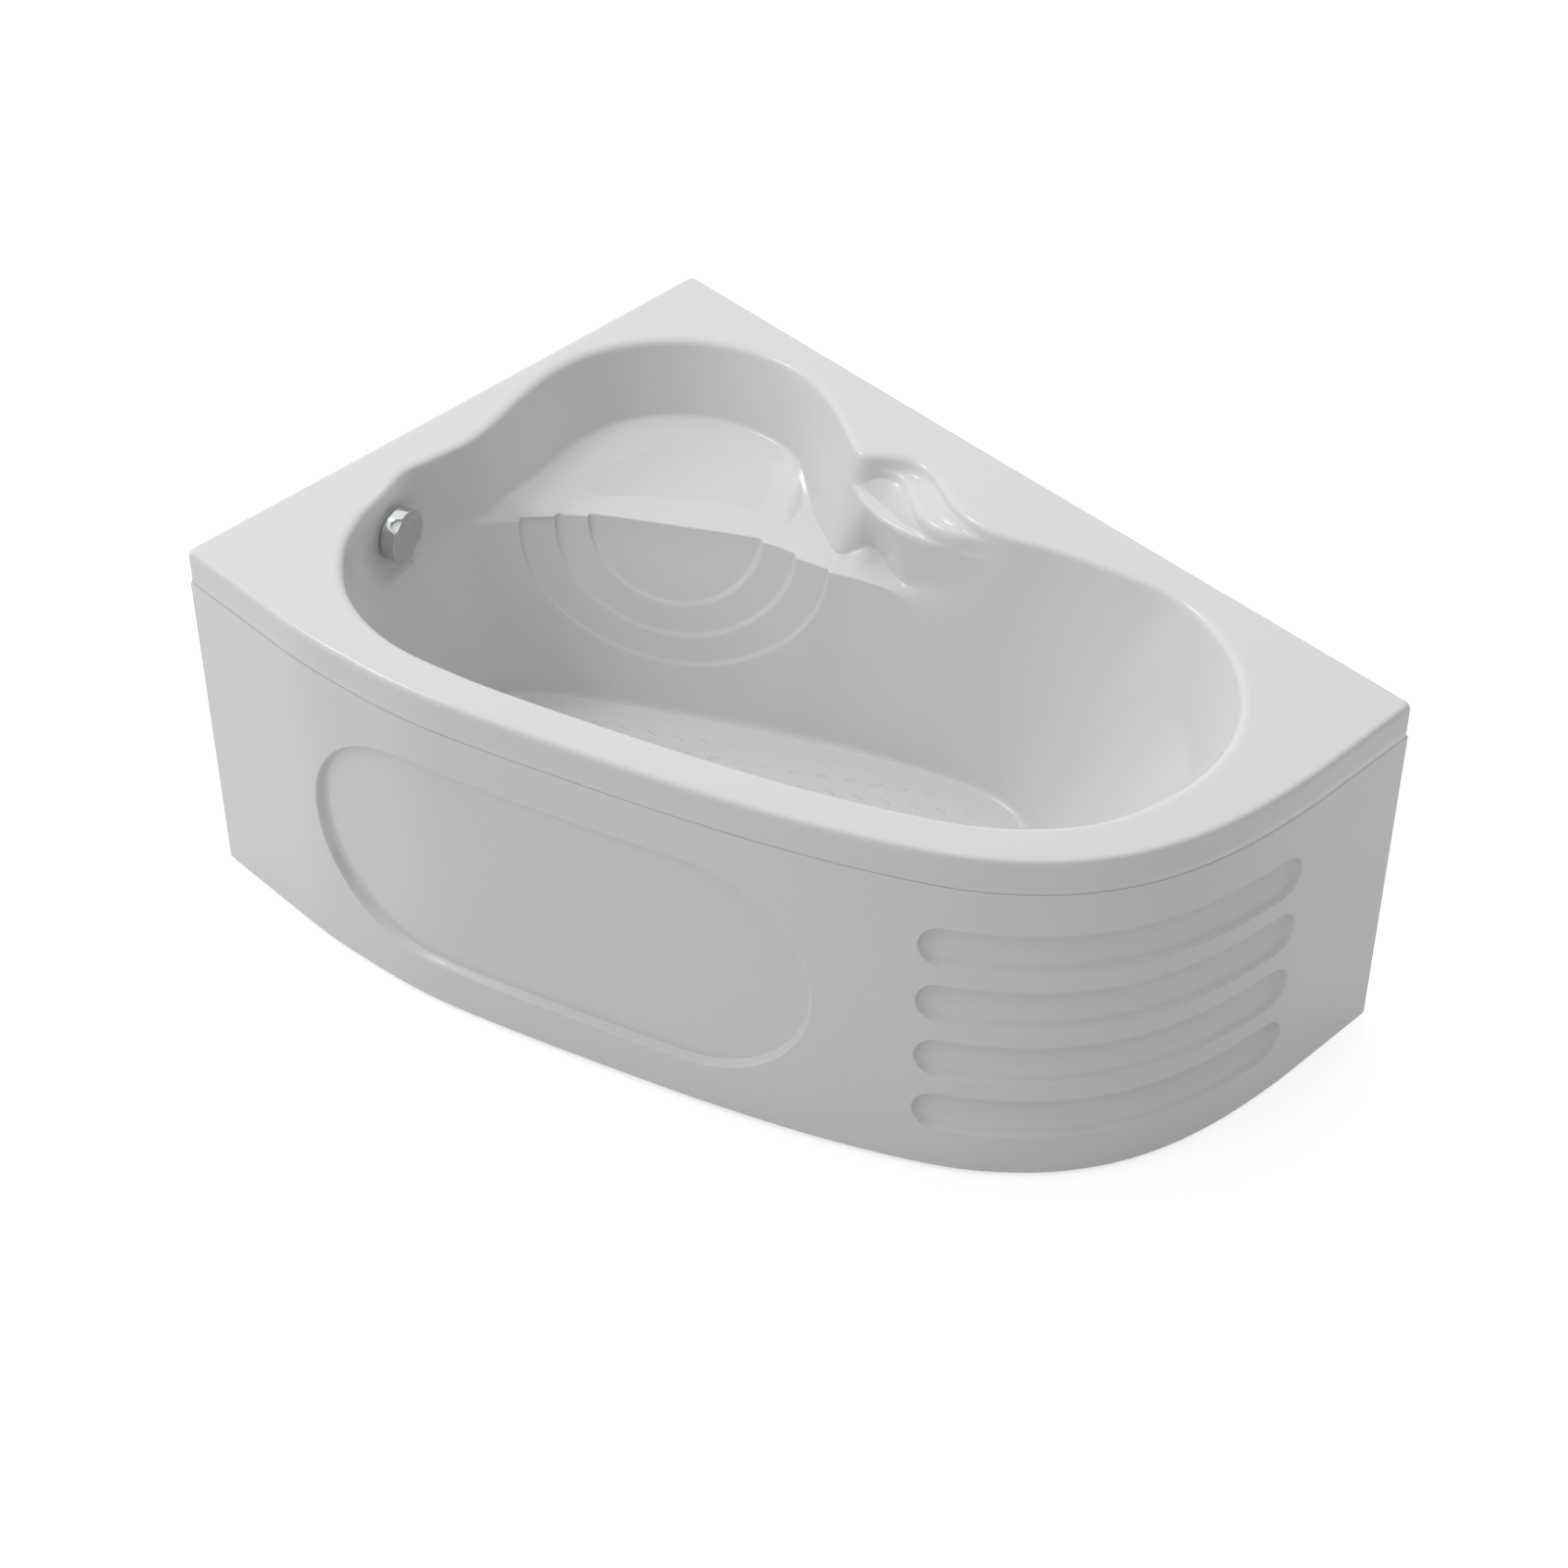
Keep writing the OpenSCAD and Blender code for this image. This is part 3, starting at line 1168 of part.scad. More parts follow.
foot_pad(3);  // foot_pad_4
foot_pad(4);  // foot_pad_5
panel_clips();
panel_brackets();
panel_blocks();
panel_screws();
wall_brackets();
bracket_bolts();
waste_flange();
waste_gasket();
waste_body();
waste_plug();
lifter_pin();
trap_body();
trap_nut();
cleanout_cap();
outlet_pipe();
overflow_ring();
overflow_gasket();
overflow_body();
overflow_knob();
knob_spindle();
cable_cam();
overflow_hose();
hose_clips();
control_cable();
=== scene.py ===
"""Looks of the corner bathtub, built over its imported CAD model.

The moulded tub, the wrap-round panel and the chrome fittings are rebuilt here as smooth parametric
surfaces in the same place as their CAD solids. All other CAD nodes keep their shape and get a
material. Lengths in the functions are millimetres and turn to metres where a mesh is made.
"""

import json
import math

import bpy
import numpy as np
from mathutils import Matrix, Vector


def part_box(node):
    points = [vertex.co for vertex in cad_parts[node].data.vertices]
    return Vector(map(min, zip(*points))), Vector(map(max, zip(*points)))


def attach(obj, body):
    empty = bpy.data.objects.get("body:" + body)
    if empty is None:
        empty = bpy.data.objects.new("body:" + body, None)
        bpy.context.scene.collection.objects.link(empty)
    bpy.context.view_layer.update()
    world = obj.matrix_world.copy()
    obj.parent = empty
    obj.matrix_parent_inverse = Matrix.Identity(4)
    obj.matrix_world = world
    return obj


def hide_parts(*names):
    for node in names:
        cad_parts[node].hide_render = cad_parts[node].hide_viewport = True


bl_info = {
    "name": "Corner Bathtub",
    "version": (1, 0, 0),
    "blender": (4, 5, 0),
    "location": "View3D > Sidebar > Bathtub",
    "description": "Builds the smooth surfaces, materials, lights and camera of a corner bathtub",
    "category": "Object",
}

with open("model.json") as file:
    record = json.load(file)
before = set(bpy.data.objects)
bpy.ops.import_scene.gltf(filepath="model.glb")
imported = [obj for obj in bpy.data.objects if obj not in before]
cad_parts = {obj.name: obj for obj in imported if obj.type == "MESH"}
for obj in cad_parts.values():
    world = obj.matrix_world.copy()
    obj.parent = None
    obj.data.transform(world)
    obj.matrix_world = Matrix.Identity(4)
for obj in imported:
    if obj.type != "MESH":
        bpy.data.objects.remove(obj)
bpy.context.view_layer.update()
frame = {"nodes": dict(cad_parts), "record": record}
MM = 0.001
METRE = 1000.0


# Colours and nodes
def linear(hex_colour):
    """Linear RGBA of an sRGB hex colour: c/12.92 below 0.04045, else ((c+0.055)/1.055)^2.4."""
    parts = [int(hex_colour[i : i + 2], 16) / 255 for i in (1, 3, 5)]
    return [c / 12.92 if c <= 0.04045 else ((c + 0.055) / 1.055) ** 2.4 for c in parts] + [1.0]


def add_node(tree, kind, inputs=(), **settings):
    """A new node with its settings. Its inputs go by place or by name, and each takes a number, a
    hex colour, another node's output socket, or a node for the first of its outputs."""
    made = tree.nodes.new("ShaderNode" + kind)
    for name, value in settings.items():
        setattr(made, name, value)
    for key, value in inputs.items() if isinstance(inputs, dict) else enumerate(inputs):
        if isinstance(value, bpy.types.Node):
            value = value.outputs[0]
        if isinstance(value, bpy.types.NodeSocket):
            tree.links.new(value, made.inputs[key])
        else:
            made.inputs[key].default_value = linear(value) if isinstance(value, str) else value
    return made


def new_material(name):
    """A material whose node tree is still empty, and that tree."""
    material = bpy.data.materials.new(name)
    material.use_nodes = True
    material.node_tree.nodes.clear()
    return material, material.node_tree


# Places of a Mix node's colour sockets, whose names stand for numbers and vectors as well
FACTOR, FIRST, SECOND, MIXED = 0, 6, 7, 2


# Plan outlines, in millimetres
LOW, HIGH = (np.array(corner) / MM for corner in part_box("tub_shell"))
LENGTH, WIDTH, DECK_Z = HIGH[0] - LOW[0], HIGH[1] - LOW[1], HIGH[2]

# Outline of the well at the deck, clockwise from the front left, as shares of length and width
OPENING_SHARES = [
    (0.110, 0.837), (0.080, 0.771), (0.059, 0.720), (0.053, 0.665), (0.058, 0.598), (0.061, 0.540),
    (0.054, 0.482), (0.037, 0.397), (0.028, 0.313), (0.036, 0.236), (0.068, 0.156), (0.123, 0.092),
    (0.200, 0.060), (0.266, 0.076), (0.319, 0.114), (0.357, 0.144), (0.370, 0.130), (0.389, 0.108),
    (0.410, 0.094), (0.440, 0.100), (0.466, 0.119), (0.497, 0.135), (0.527, 0.138), (0.560, 0.129),
    (0.613, 0.100), (0.677, 0.075), (0.740, 0.060), (0.799, 0.077), (0.856, 0.123), (0.901, 0.197),
    (0.923, 0.289), (0.921, 0.395), (0.895, 0.500), (0.835, 0.595), (0.751, 0.668), (0.654, 0.733),
    (0.547, 0.793), (0.440, 0.848), (0.340, 0.894), (0.247, 0.919), (0.169, 0.898),
]
# Outline of the well's floor, clockwise from its left end
FLOOR_SHARES = [
    (0.127, 0.675), (0.126, 0.610), (0.141, 0.564), (0.171, 0.521), (0.216, 0.480), (0.277, 0.427),
    (0.352, 0.367), (0.427, 0.308), (0.503, 0.258), (0.563, 0.226), (0.613, 0.210), (0.662, 0.226),
    (0.695, 0.290), (0.706, 0.376), (0.694, 0.463), (0.660, 0.540), (0.605, 0.605), (0.530, 0.665),
    (0.440, 0.720), (0.350, 0.765), (0.270, 0.795), (0.205, 0.800), (0.160, 0.772), (0.135, 0.725),
]
# Front edge of the seat, from the left wall to the back wall
SEAT_EDGE_SHARES = [
    (0.064, 0.600), (0.072, 0.570), (0.103, 0.502), (0.131, 0.457), (0.161, 0.419), (0.236, 0.354),
    (0.315, 0.288), (0.349, 0.271), (0.387, 0.253), (0.455, 0.212), (0.497, 0.189), (0.520, 0.165),
]
# Crease where the seat's flat turns up to its back, from the left wall to the back wall
SEAT_FLAT_SHARES = [
    (0.180, 0.620), (0.155, 0.540), (0.132, 0.475), (0.124, 0.440), (0.124, 0.371), (0.138, 0.305),
    (0.163, 0.246), (0.194, 0.206), (0.232, 0.174), (0.271, 0.156), (0.305, 0.158), (0.340, 0.172),
    (0.375, 0.200), (0.410, 0.215),
]
# Nose of the upper soap shelf, foot of the step below it and nose of the lower soap shelf
SHELF_NOSE_ONE_SHARES = [
    (0.352, 0.150), (0.366, 0.140), (0.381, 0.126), (0.401, 0.119), (0.421, 0.126), (0.441, 0.147),
    (0.461, 0.163), (0.481, 0.168), (0.501, 0.165), (0.521, 0.152), (0.541, 0.138), (0.580, 0.108),
]
SHELF_FOOT_TWO_SHARES = [
    (0.352, 0.152), (0.369, 0.141), (0.386, 0.131), (0.406, 0.135), (0.426, 0.151), (0.453, 0.168),
    (0.479, 0.175), (0.501, 0.171), (0.523, 0.157), (0.543, 0.141), (0.580, 0.110),
]
SHELF_NOSE_TWO_SHARES = [
    (0.352, 0.130), (0.358, 0.145), (0.372, 0.165), (0.392, 0.181), (0.419, 0.191), (0.439, 0.190),
    (0.465, 0.185), (0.492, 0.176), (0.525, 0.159), (0.547, 0.143), (0.580, 0.112),
]
# Front of the rim, from the straight left part to the straight right end
FRONT_SHARES = [
    (0.153, 1.000), (0.237, 0.990), (0.313, 0.972), (0.399, 0.936), (0.516, 0.8785), (0.628, 0.819),
    (0.733, 0.754), (0.830, 0.680), (0.886, 0.620), (0.933, 0.546), (0.969, 0.453), (0.991, 0.338),
    (1.000, 0.194),
]
# Middle of the well, from which its outlines are measured, and the ellipse that spaces the rays
CORE_SHARE = (0.430, 0.500)
RAY_TURN = math.radians(25)
RAY_STRETCH = 2.0
# Samples in a span of an outline, and in the quarter turn of a corner of the rim with its radius
LINE_STEPS, CORNER_STEPS, CORNER_R = 24, 6, 10.0


def places(shares):
    """Plan points of shares of length and width, counted from the back left corner."""
    shares = np.atleast_2d(np.array(shares, float))
    return np.stack([LOW[0] + shares[:, 0] * LENGTH, HIGH[1] - shares[:, 1] * WIDTH], 1)


def smooth_span(a, b, c, d, t):
    """Catmull-Rom: (2b + (c-a)t + (2a-5b+4c-d)t^2 + (3b-a-3c+d)t^3) / 2."""
    return (
        2 * b + (c - a) * t + (2 * a - 5 * b + 4 * c - d) * t**2 + (3 * b - a - 3 * c + d) * t**3
    ) / 2


def smooth_line(points, closed=False, first=None, last=None):
    """Smooth line through plan points. An open one may be led in and out by a first and last."""
    t = np.arange(LINE_STEPS)[:, None] / LINE_STEPS
    if closed:
        spans = [np.roll(points, k, 0) for k in (1, 0, -1, -2)]
    else:
        first = points[0] if first is None else first
        last = points[-1] if last is None else last
        padded = np.vstack([first, points, last])
        spans = [padded[:-3], padded[1:-2], padded[2:-1], padded[3:]]
    line = smooth_span(*(span[:, None, :] for span in spans), t[None]).reshape(-1, 2)
    return line if closed else np.vstack([line, points[-1]])


def turned(v, angle):
    """Plan vectors turned by an angle."""
    c, s = math.cos(angle), math.sin(angle)
    return np.stack([v[..., 0] * c - v[..., 1] * s, v[..., 0] * s + v[..., 1] * c], -1)


def toward(v):
    """Unit vectors along v."""
    return v / np.linalg.norm(v, axis=-1, keepdims=True)


def cross(a, b):
    """Sine of the turn from a to b, times their lengths."""
    return a[..., 0] * b[..., 1] - a[..., 1] * b[..., 0]


def crossings(line, core, dirs, closed=True):
    """Distance from core at which each ray meets each segment of a line, else infinity."""
    a = line - core
    b = (np.roll(line, -1, 0) if closed else line[1:]) - core
    a = a[: len(b)]
    ca, cb = cross(dirs[:, None], a[None]), cross(dirs[:, None], b[None])
    hit = (ca < 0) != (cb < 0)
    share = np.where(hit, ca / np.where(hit, ca - cb, 1), 0)
    far = ((a[None] + (b - a)[None] * share[..., None]) * dirs[:, None]).sum(-1)
    return np.where(hit & (far > 0), far, np.inf)


# Rays that are crossed with a line at a time, to keep the arrays small
RAY_BATCH = 1500


def nearest(line, core, dirs, closed=True):
    """Distance from core at which each ray first meets a line."""
    parts = np.array_split(dirs, math.ceil(len(dirs) / RAY_BATCH))
    return np.concatenate([crossings(line, core, part, closed).min(1) for part in parts])


def ease(t):
    """Smooth step from 0 to 1: t^2 (3 - 2t)."""
    t = np.clip(t, 0, 1)
    return t * t * (3 - 2 * t)


def ease_more(t):
    """Smooth step from 0 to 1 with no bend at its ends: t^3 (10 - 15t + 6t^2)."""
    t = np.clip(t, 0, 1)
    return t**3 * (10 - 15 * t + 6 * t * t)


def softened(values, width):
    """Values round a closed outline, averaged with their neighbours by a bell of that many."""
    reach = int(3 * width)
    bell = np.exp(-0.5 * (np.arange(-reach, reach + 1) / width) ** 2)
    padded = np.concatenate([values[-reach:], values, values[:reach]])
    return np.convolve(padded, bell / bell.sum(), "valid")


def mesh_object(name, points, faces, smooth=True):
    """A mesh object of points in millimetres and faces, at the origin with its place in the mesh."""
    mesh = bpy.data.meshes.new(name)
    mesh.from_pydata((np.asarray(points) * MM).tolist(), [], [tuple(f) for f in faces])
    mesh.validate()
    if smooth:
        mesh.shade_smooth()
    mesh.update()
    made = bpy.data.objects.new(name, mesh)
    bpy.context.scene.collection.objects.link(made)
    return made


def grid_faces(rows, columns, closed=True):
    """Quads of a grid of rows by columns, whose columns join up where closed."""
    row, column = np.meshgrid(np.arange(rows - 1), np.arange(columns - (not closed)), indexing="ij")
    after = (column + 1) % columns
    corners = [(row, column), (row + 1, column), (row + 1, after), (row, after)]
    return np.stack([r * columns + c for r, c in corners], -1).reshape(-1, 4)


def outward(points, faces):
    """The faces, turned round if they face inwards: the sign of the enclosed volume tells."""
    volume = 0.0
    for size in {len(face) for face in faces}:
        corners = np.asarray(points)[[face for face in faces if len(face) == size]]
        for k in range(1, size - 1):
            volume += (corners[:, 0] * np.cross(corners[:, k], corners[:, k + 1])).sum()
    return faces if volume > 0 else [list(face)[::-1] for face in faces]


# Moulded tub: walls, depths below the deck and roundings
SHELL_WALL = 6.0
WELL_DEPTH, SEAT_DEPTH, SEAT_FALL = 430.0, 140.0, 3.0
RIM_ROUND, LIP_ROUND = 12.0, 14.0
# A rounding takes at most this share of each side of its corner
SIDE_SHARE = 0.42
# Rounding round the floor, its rise as a share of its width, and the most of the floor it takes
FLOOR_COVE, COVE_RISE, COVE_MOST = 12.0, 1.1, 0.4
# Points down that rounding, circles of faces on the floor, and shares of the riser's height at which
# the underside follows it
COVE_POINTS, FLOOR_CIRCLES, UNDER_SHARES = 8, 3, (0.8, 0.66, 0.52, 0.38, 0.24, 0.1)
# Height of the skirt, from the tongue of the panel behind it and the groove over the panel
PANEL_LOW, PANEL_HIGH = (corner[2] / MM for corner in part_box("front_panel"))
TONGUE_RISE, PANEL_GAP = 24.0, 3.0
PANEL_TOP = PANEL_HIGH - TONGUE_RISE
SKIRT_HIGH = DECK_Z - (PANEL_TOP + PANEL_GAP)
# Soap shelves: depths, fall to the front, rounding, and lean of the wall under the lower one
SHELF_ONE, SHELF_TWO, SHELF_FALL, SHELF_ROUND, SHELF_LEAN = 20.0, 46.0, 1.5, 9.0, 12.0
# Seat: lean of the wall above it, and roundings of its crease, of its dish and of its front edge
SEAT_LEAN, SEAT_CREASE, SEAT_DISH, SEAT_NOSE = 62.0, 6.0, 14.0, 4.0
# Rise of the seat's back at the wall and the width it takes, and least widths of seat and of flat
SEAT_RISE, SEAT_RISE_WIDE, SEAT_LEAST, FLAT_LEAST = 26.0, 36.0, 8.0, 4.0
# Where there is no seat: depth over which the wall bends, its share above the seat, and rounding
PLAIN_SOFT, PLAIN_ABOVE, PLAIN_ROUND = 60.0, 0.6, 20.0
# The wall is steeper by this share near one place, within this angle
STEEP_SHARE, STEEP_LESS, STEEP_WIDE = (0.063, 0.590), 0.8, 0.2
# Nested arcs on the riser: soft edge, turn and middle of their plane, half widths, drops, and how
# much shallower each one gets towards its foot
ARC_SOFT, ARC_TURN, ARC_MIDDLE_SHARE = 5.0, math.radians(31), (0.245, 0.372)
ARC_REACH, ARC_DROP, ARC_FADE = (248.0, 190.0, 134.0), (207.0, 163.0, 117.0), 0.72
# Knob: middle of its flat, turn of its axis, depth, and the flat's radius and blend to the wall
KNOB_SHARE, KNOB_TURN, KNOB_DEPTH = (0.072, 0.708), math.radians(19.4), 72.0
FLAT_INNER, FLAT_BLEND = 46.0, 60.0
# Cosines to the knob's axis: the wall behind it reaches this far round, and none is counted as less
FLAT_ROUND, FACING_LEAST = -1 / 3, 0.05

# Rays of the skin, and the even rays on which the lines are worked out
RAYS, EVEN_RAYS = 520, 1440
# Extra rays over the arcs, the angles between which they lie, and how softly they set in
ARC_CLOSER, ARC_SECTOR, SECTOR_SOFT = 2.6, (math.radians(76), math.radians(145)), 0.12
# Steps in which the rays are spaced, and the least angle between a ray and one of a corner
SPACING_STEPS, RAY_LEAST = 7201, 0.003
# A slanting line counts as at most this much longer than a square one. Its slant is measured over
# this many rays to each side, on the well's lines and on the rim
SLANT_MOST, SLANT_SPREAD, RIM_SPREAD = 2.4, 8, 3
# Widths in even rays over which the lines are softened, the seat's edge twice
SOFT_OPENING, SOFT_FLOOR, SOFT_SHELF, SOFT_BACK, SOFT_FLAT = 4.0, 8.0, 3.0, 28.0, 5.0
SOFT_SEAT, SOFT_SLANT, SOFT_EDGE = 12.0, 6.0, (5.0, 6.0)


def tub_lines():
    """The front outline, the whole outline of the rim, and the arcs of its three corners."""
    left, right = places((0, 1)), places((1, 0))
    front = np.vstack([left, smooth_line(places(FRONT_SHARES), first=left, last=right), right])
    corners = []
    for share, inward, start in (((0, 0), (1, -1), 180), ((1, 0), (-1, -1), 90), ((0, 1), (1, 1), 270)):
        middle = places(share)[0] + np.array(inward) * CORNER_R
        turn = np.radians(start - np.linspace(0, 90, CORNER_STEPS + 1))
        corners.append(middle + CORNER_R * np.stack([np.cos(turn), np.sin(turn)], 1))
    rim = np.vstack([corners[0], corners[1], front[-2:0:-1], corners[2]])
    return front, rim, corners


def rounded(a, corner, b, cut, count):
    """Curve p(1-t)^2 + 2ct(1-t) + qt^2 that rounds a corner, for every ray at once."""
    def side(far):
        away = far - corner
        size = np.linalg.norm(away, axis=1, keepdims=True)
        reach = np.minimum(np.reshape(cut, (-1, 1)), size * SIDE_SHARE)
        return corner + away / np.maximum(size, 1e-9) * reach

    p, q = side(a), side(b)
    t = np.linspace(0, 1, count)[:, None, None]
    return p * (1 - t) ** 2 + corner * 2 * t * (1 - t) + q * t * t


def between(a, b, count):
    """Points evenly between two points of the profile, for every ray at once."""
    t = (np.arange(1, count + 1) / (count + 1))[:, None, None]
    return a + (b - a) * t


def ray_directions(angles):
    """Unit directions of rays at those angles of an ellipse along the well."""
    return toward(turned(np.stack([RAY_STRETCH * np.cos(angles), np.sin(angles)], 1), RAY_TURN))


def ray_angles(core, corners):
    """Angles of the skin's rays: closer together over the arcs of the riser, and with one ray
    through every point of the rim's rounded corners."""
    fine = np.linspace(-math.pi, math.pi, SPACING_STEPS)
    low, high = ARC_SECTOR
    density = 1 + ARC_CLOSER * ease((fine - low) / SECTOR_SOFT) * ease((high - fine) / SECTOR_SOFT)
    sums = np.concatenate([[0], np.cumsum((density[1:] + density[:-1]) / 2)])
    angles = np.interp(np.arange(RAYS) / RAYS * sums[-1], sums, fine)
    back = turned(np.vstack(corners) - core, -RAY_TURN)
    own = np.arctan2(back[:, 1], back[:, 0] / RAY_STRETCH)
    apart = np.abs(np.angle(np.exp(1j * (angles[:, None] - own[None])))).min(1)
    return np.sort(np.concatenate([angles[apart > RAY_LEAST], own]))


def slant(reach, dirs, spread):
    """How much longer a step along each ray is than the same step square to the outline."""
    points = dirs * reach[:, None]
    along = toward(np.roll(points, -spread, 0) - np.roll(points, spread, 0))
    return 1 / np.maximum(1 / SLANT_MOST, np.abs(cross(along, dirs)))


def tub_sections():
    """For every ray, how far out each line of the moulding lies, worked out on even rays."""
    core = places(CORE_SHARE)[0]
    _, rim_line, corners = tub_lines()
    even = -math.pi + np.arange(EVEN_RAYS) / EVEN_RAYS * 2 * math.pi
    dirs = ray_directions(even)

    def outline(shares, soft):
        return softened(nearest(smooth_line(places(shares), closed=True), core, dirs), soft)

    def crossed(shares):
        return nearest(smooth_line(places(shares)), core, dirs, closed=False)

    def drawn(shares, wall, soft):
        return wall - softened(np.maximum(wall - np.minimum(crossed(shares), wall), 0), soft)

    def wall_at(depth):
        return opening - (opening - plain_foot) * depth / SEAT_DEPTH

    opening, low = outline(OPENING_SHARES, SOFT_OPENING), outline(FLOOR_SHARES, SOFT_FLOOR)
    open_slant, floor_slant = (softened(slant(line, dirs, SLANT_SPREAD), SOFT_SLANT)
                               for line in (opening, low))
    off = np.arccos(np.clip(dirs @ toward(places(STEEP_SHARE)[0] - core), -1, 1)) / STEEP_WIDE
    lean_here = SEAT_LEAN * (1 - STEEP_LESS * np.exp(-off * off))
    plain_foot = opening - np.minimum(lean_here * open_slant, (opening - low) * SEAT_DEPTH / WELL_DEPTH)
    nose_one = drawn(SHELF_NOSE_ONE_SHARES, wall_at(SHELF_ONE + SHELF_FALL), SOFT_SHELF)
    foot_two = np.minimum(drawn(SHELF_FOOT_TWO_SHARES, wall_at(SHELF_TWO), SOFT_SHELF), nose_one)
    nose_two = drawn(SHELF_NOSE_TWO_SHARES, wall_at(SHELF_TWO + SHELF_FALL), SOFT_SHELF)
    nose_two = np.minimum(nose_two, foot_two)
    proud = wall_at(SHELF_TWO) - nose_two
    lean = plain_foot - np.minimum(plain_foot, nose_two - SHELF_LEAN * ease(proud / SHELF_LEAN))
    foot = plain_foot - softened(lean, SOFT_BACK)
    below = foot + (low - foot) * SEAT_FALL / (WELL_DEPTH - SEAT_DEPTH)
    edge = softened(drawn(SEAT_EDGE_SHARES, below, SOFT_EDGE[0]), SOFT_EDGE[1])
    seat = softened(ease((foot - edge) / SEAT_LEAST), SOFT_SEAT)
    flat = crossed(SEAT_FLAT_SHARES)
    flat = np.clip(np.where(np.isinf(flat), foot, flat), edge + FLAT_LEAST * seat, foot)
    flat = softened(flat, SOFT_FLAT)
    rise = SEAT_RISE * ease((foot - flat) / SEAT_RISE_WIDE) * seat
    back_depth = SEAT_DEPTH - (rise + (1 - seat) * PLAIN_SOFT * PLAIN_ABOVE)
    sections = {
        "open": opening, "low": low, "foot": foot, "edge": edge, "seat": seat,
        "step_one": wall_at(SHELF_ONE), "nose_one": nose_one, "foot_two": foot_two,
        "nose_two": nose_two, "flat": flat, "back_depth": back_depth, "open_slant": open_slant,
        "floor_slant": floor_slant,
    }
    angles = ray_angles(core, corners)
    sections = {k: np.interp(angles, even, v, period=2 * math.pi) for k, v in sections.items()}
    dirs = ray_directions(angles)
    far = crossings(rim_line, core, dirs)
    rim = np.where(np.isinf(far), 0, far).max(1)
    rim_slant = slant(rim, dirs, RIM_SPREAD)
    return sections | {"core": core, "dirs": dirs, "rim": rim, "rim_slant": rim_slant}


def arc_depth(points, depth, step):
    """Depth of the nested arcs on the seat's riser: step times the number of half ellipses
    s^2/reach^2 + h^2/drop^2 = 1 that hold the point, each soft at its edge and fading downwards."""
    along = np.array([math.cos(ARC_TURN), math.sin(ARC_TURN)])
    s = (points - places(ARC_MIDDLE_SHARE)[0]) @ along
    total = np.zeros(s.shape)
    for reach, drop in zip(ARC_REACH, ARC_DROP):
        h = (depth - SEAT_DEPTH) / drop
        inside = 1 - ease((np.sqrt((s / reach) ** 2 + h**2) - 1) * drop / ARC_SOFT + 0.5)
        total += inside * (1 - ARC_FADE * ease(h))
    return total * step


def knob_frame():
    """Middle of the knob's flat in plan, and its level axis into the well."""
    return places(KNOB_SHARE)[0], np.array([math.cos(KNOB_TURN), math.sin(KNOB_TURN)])


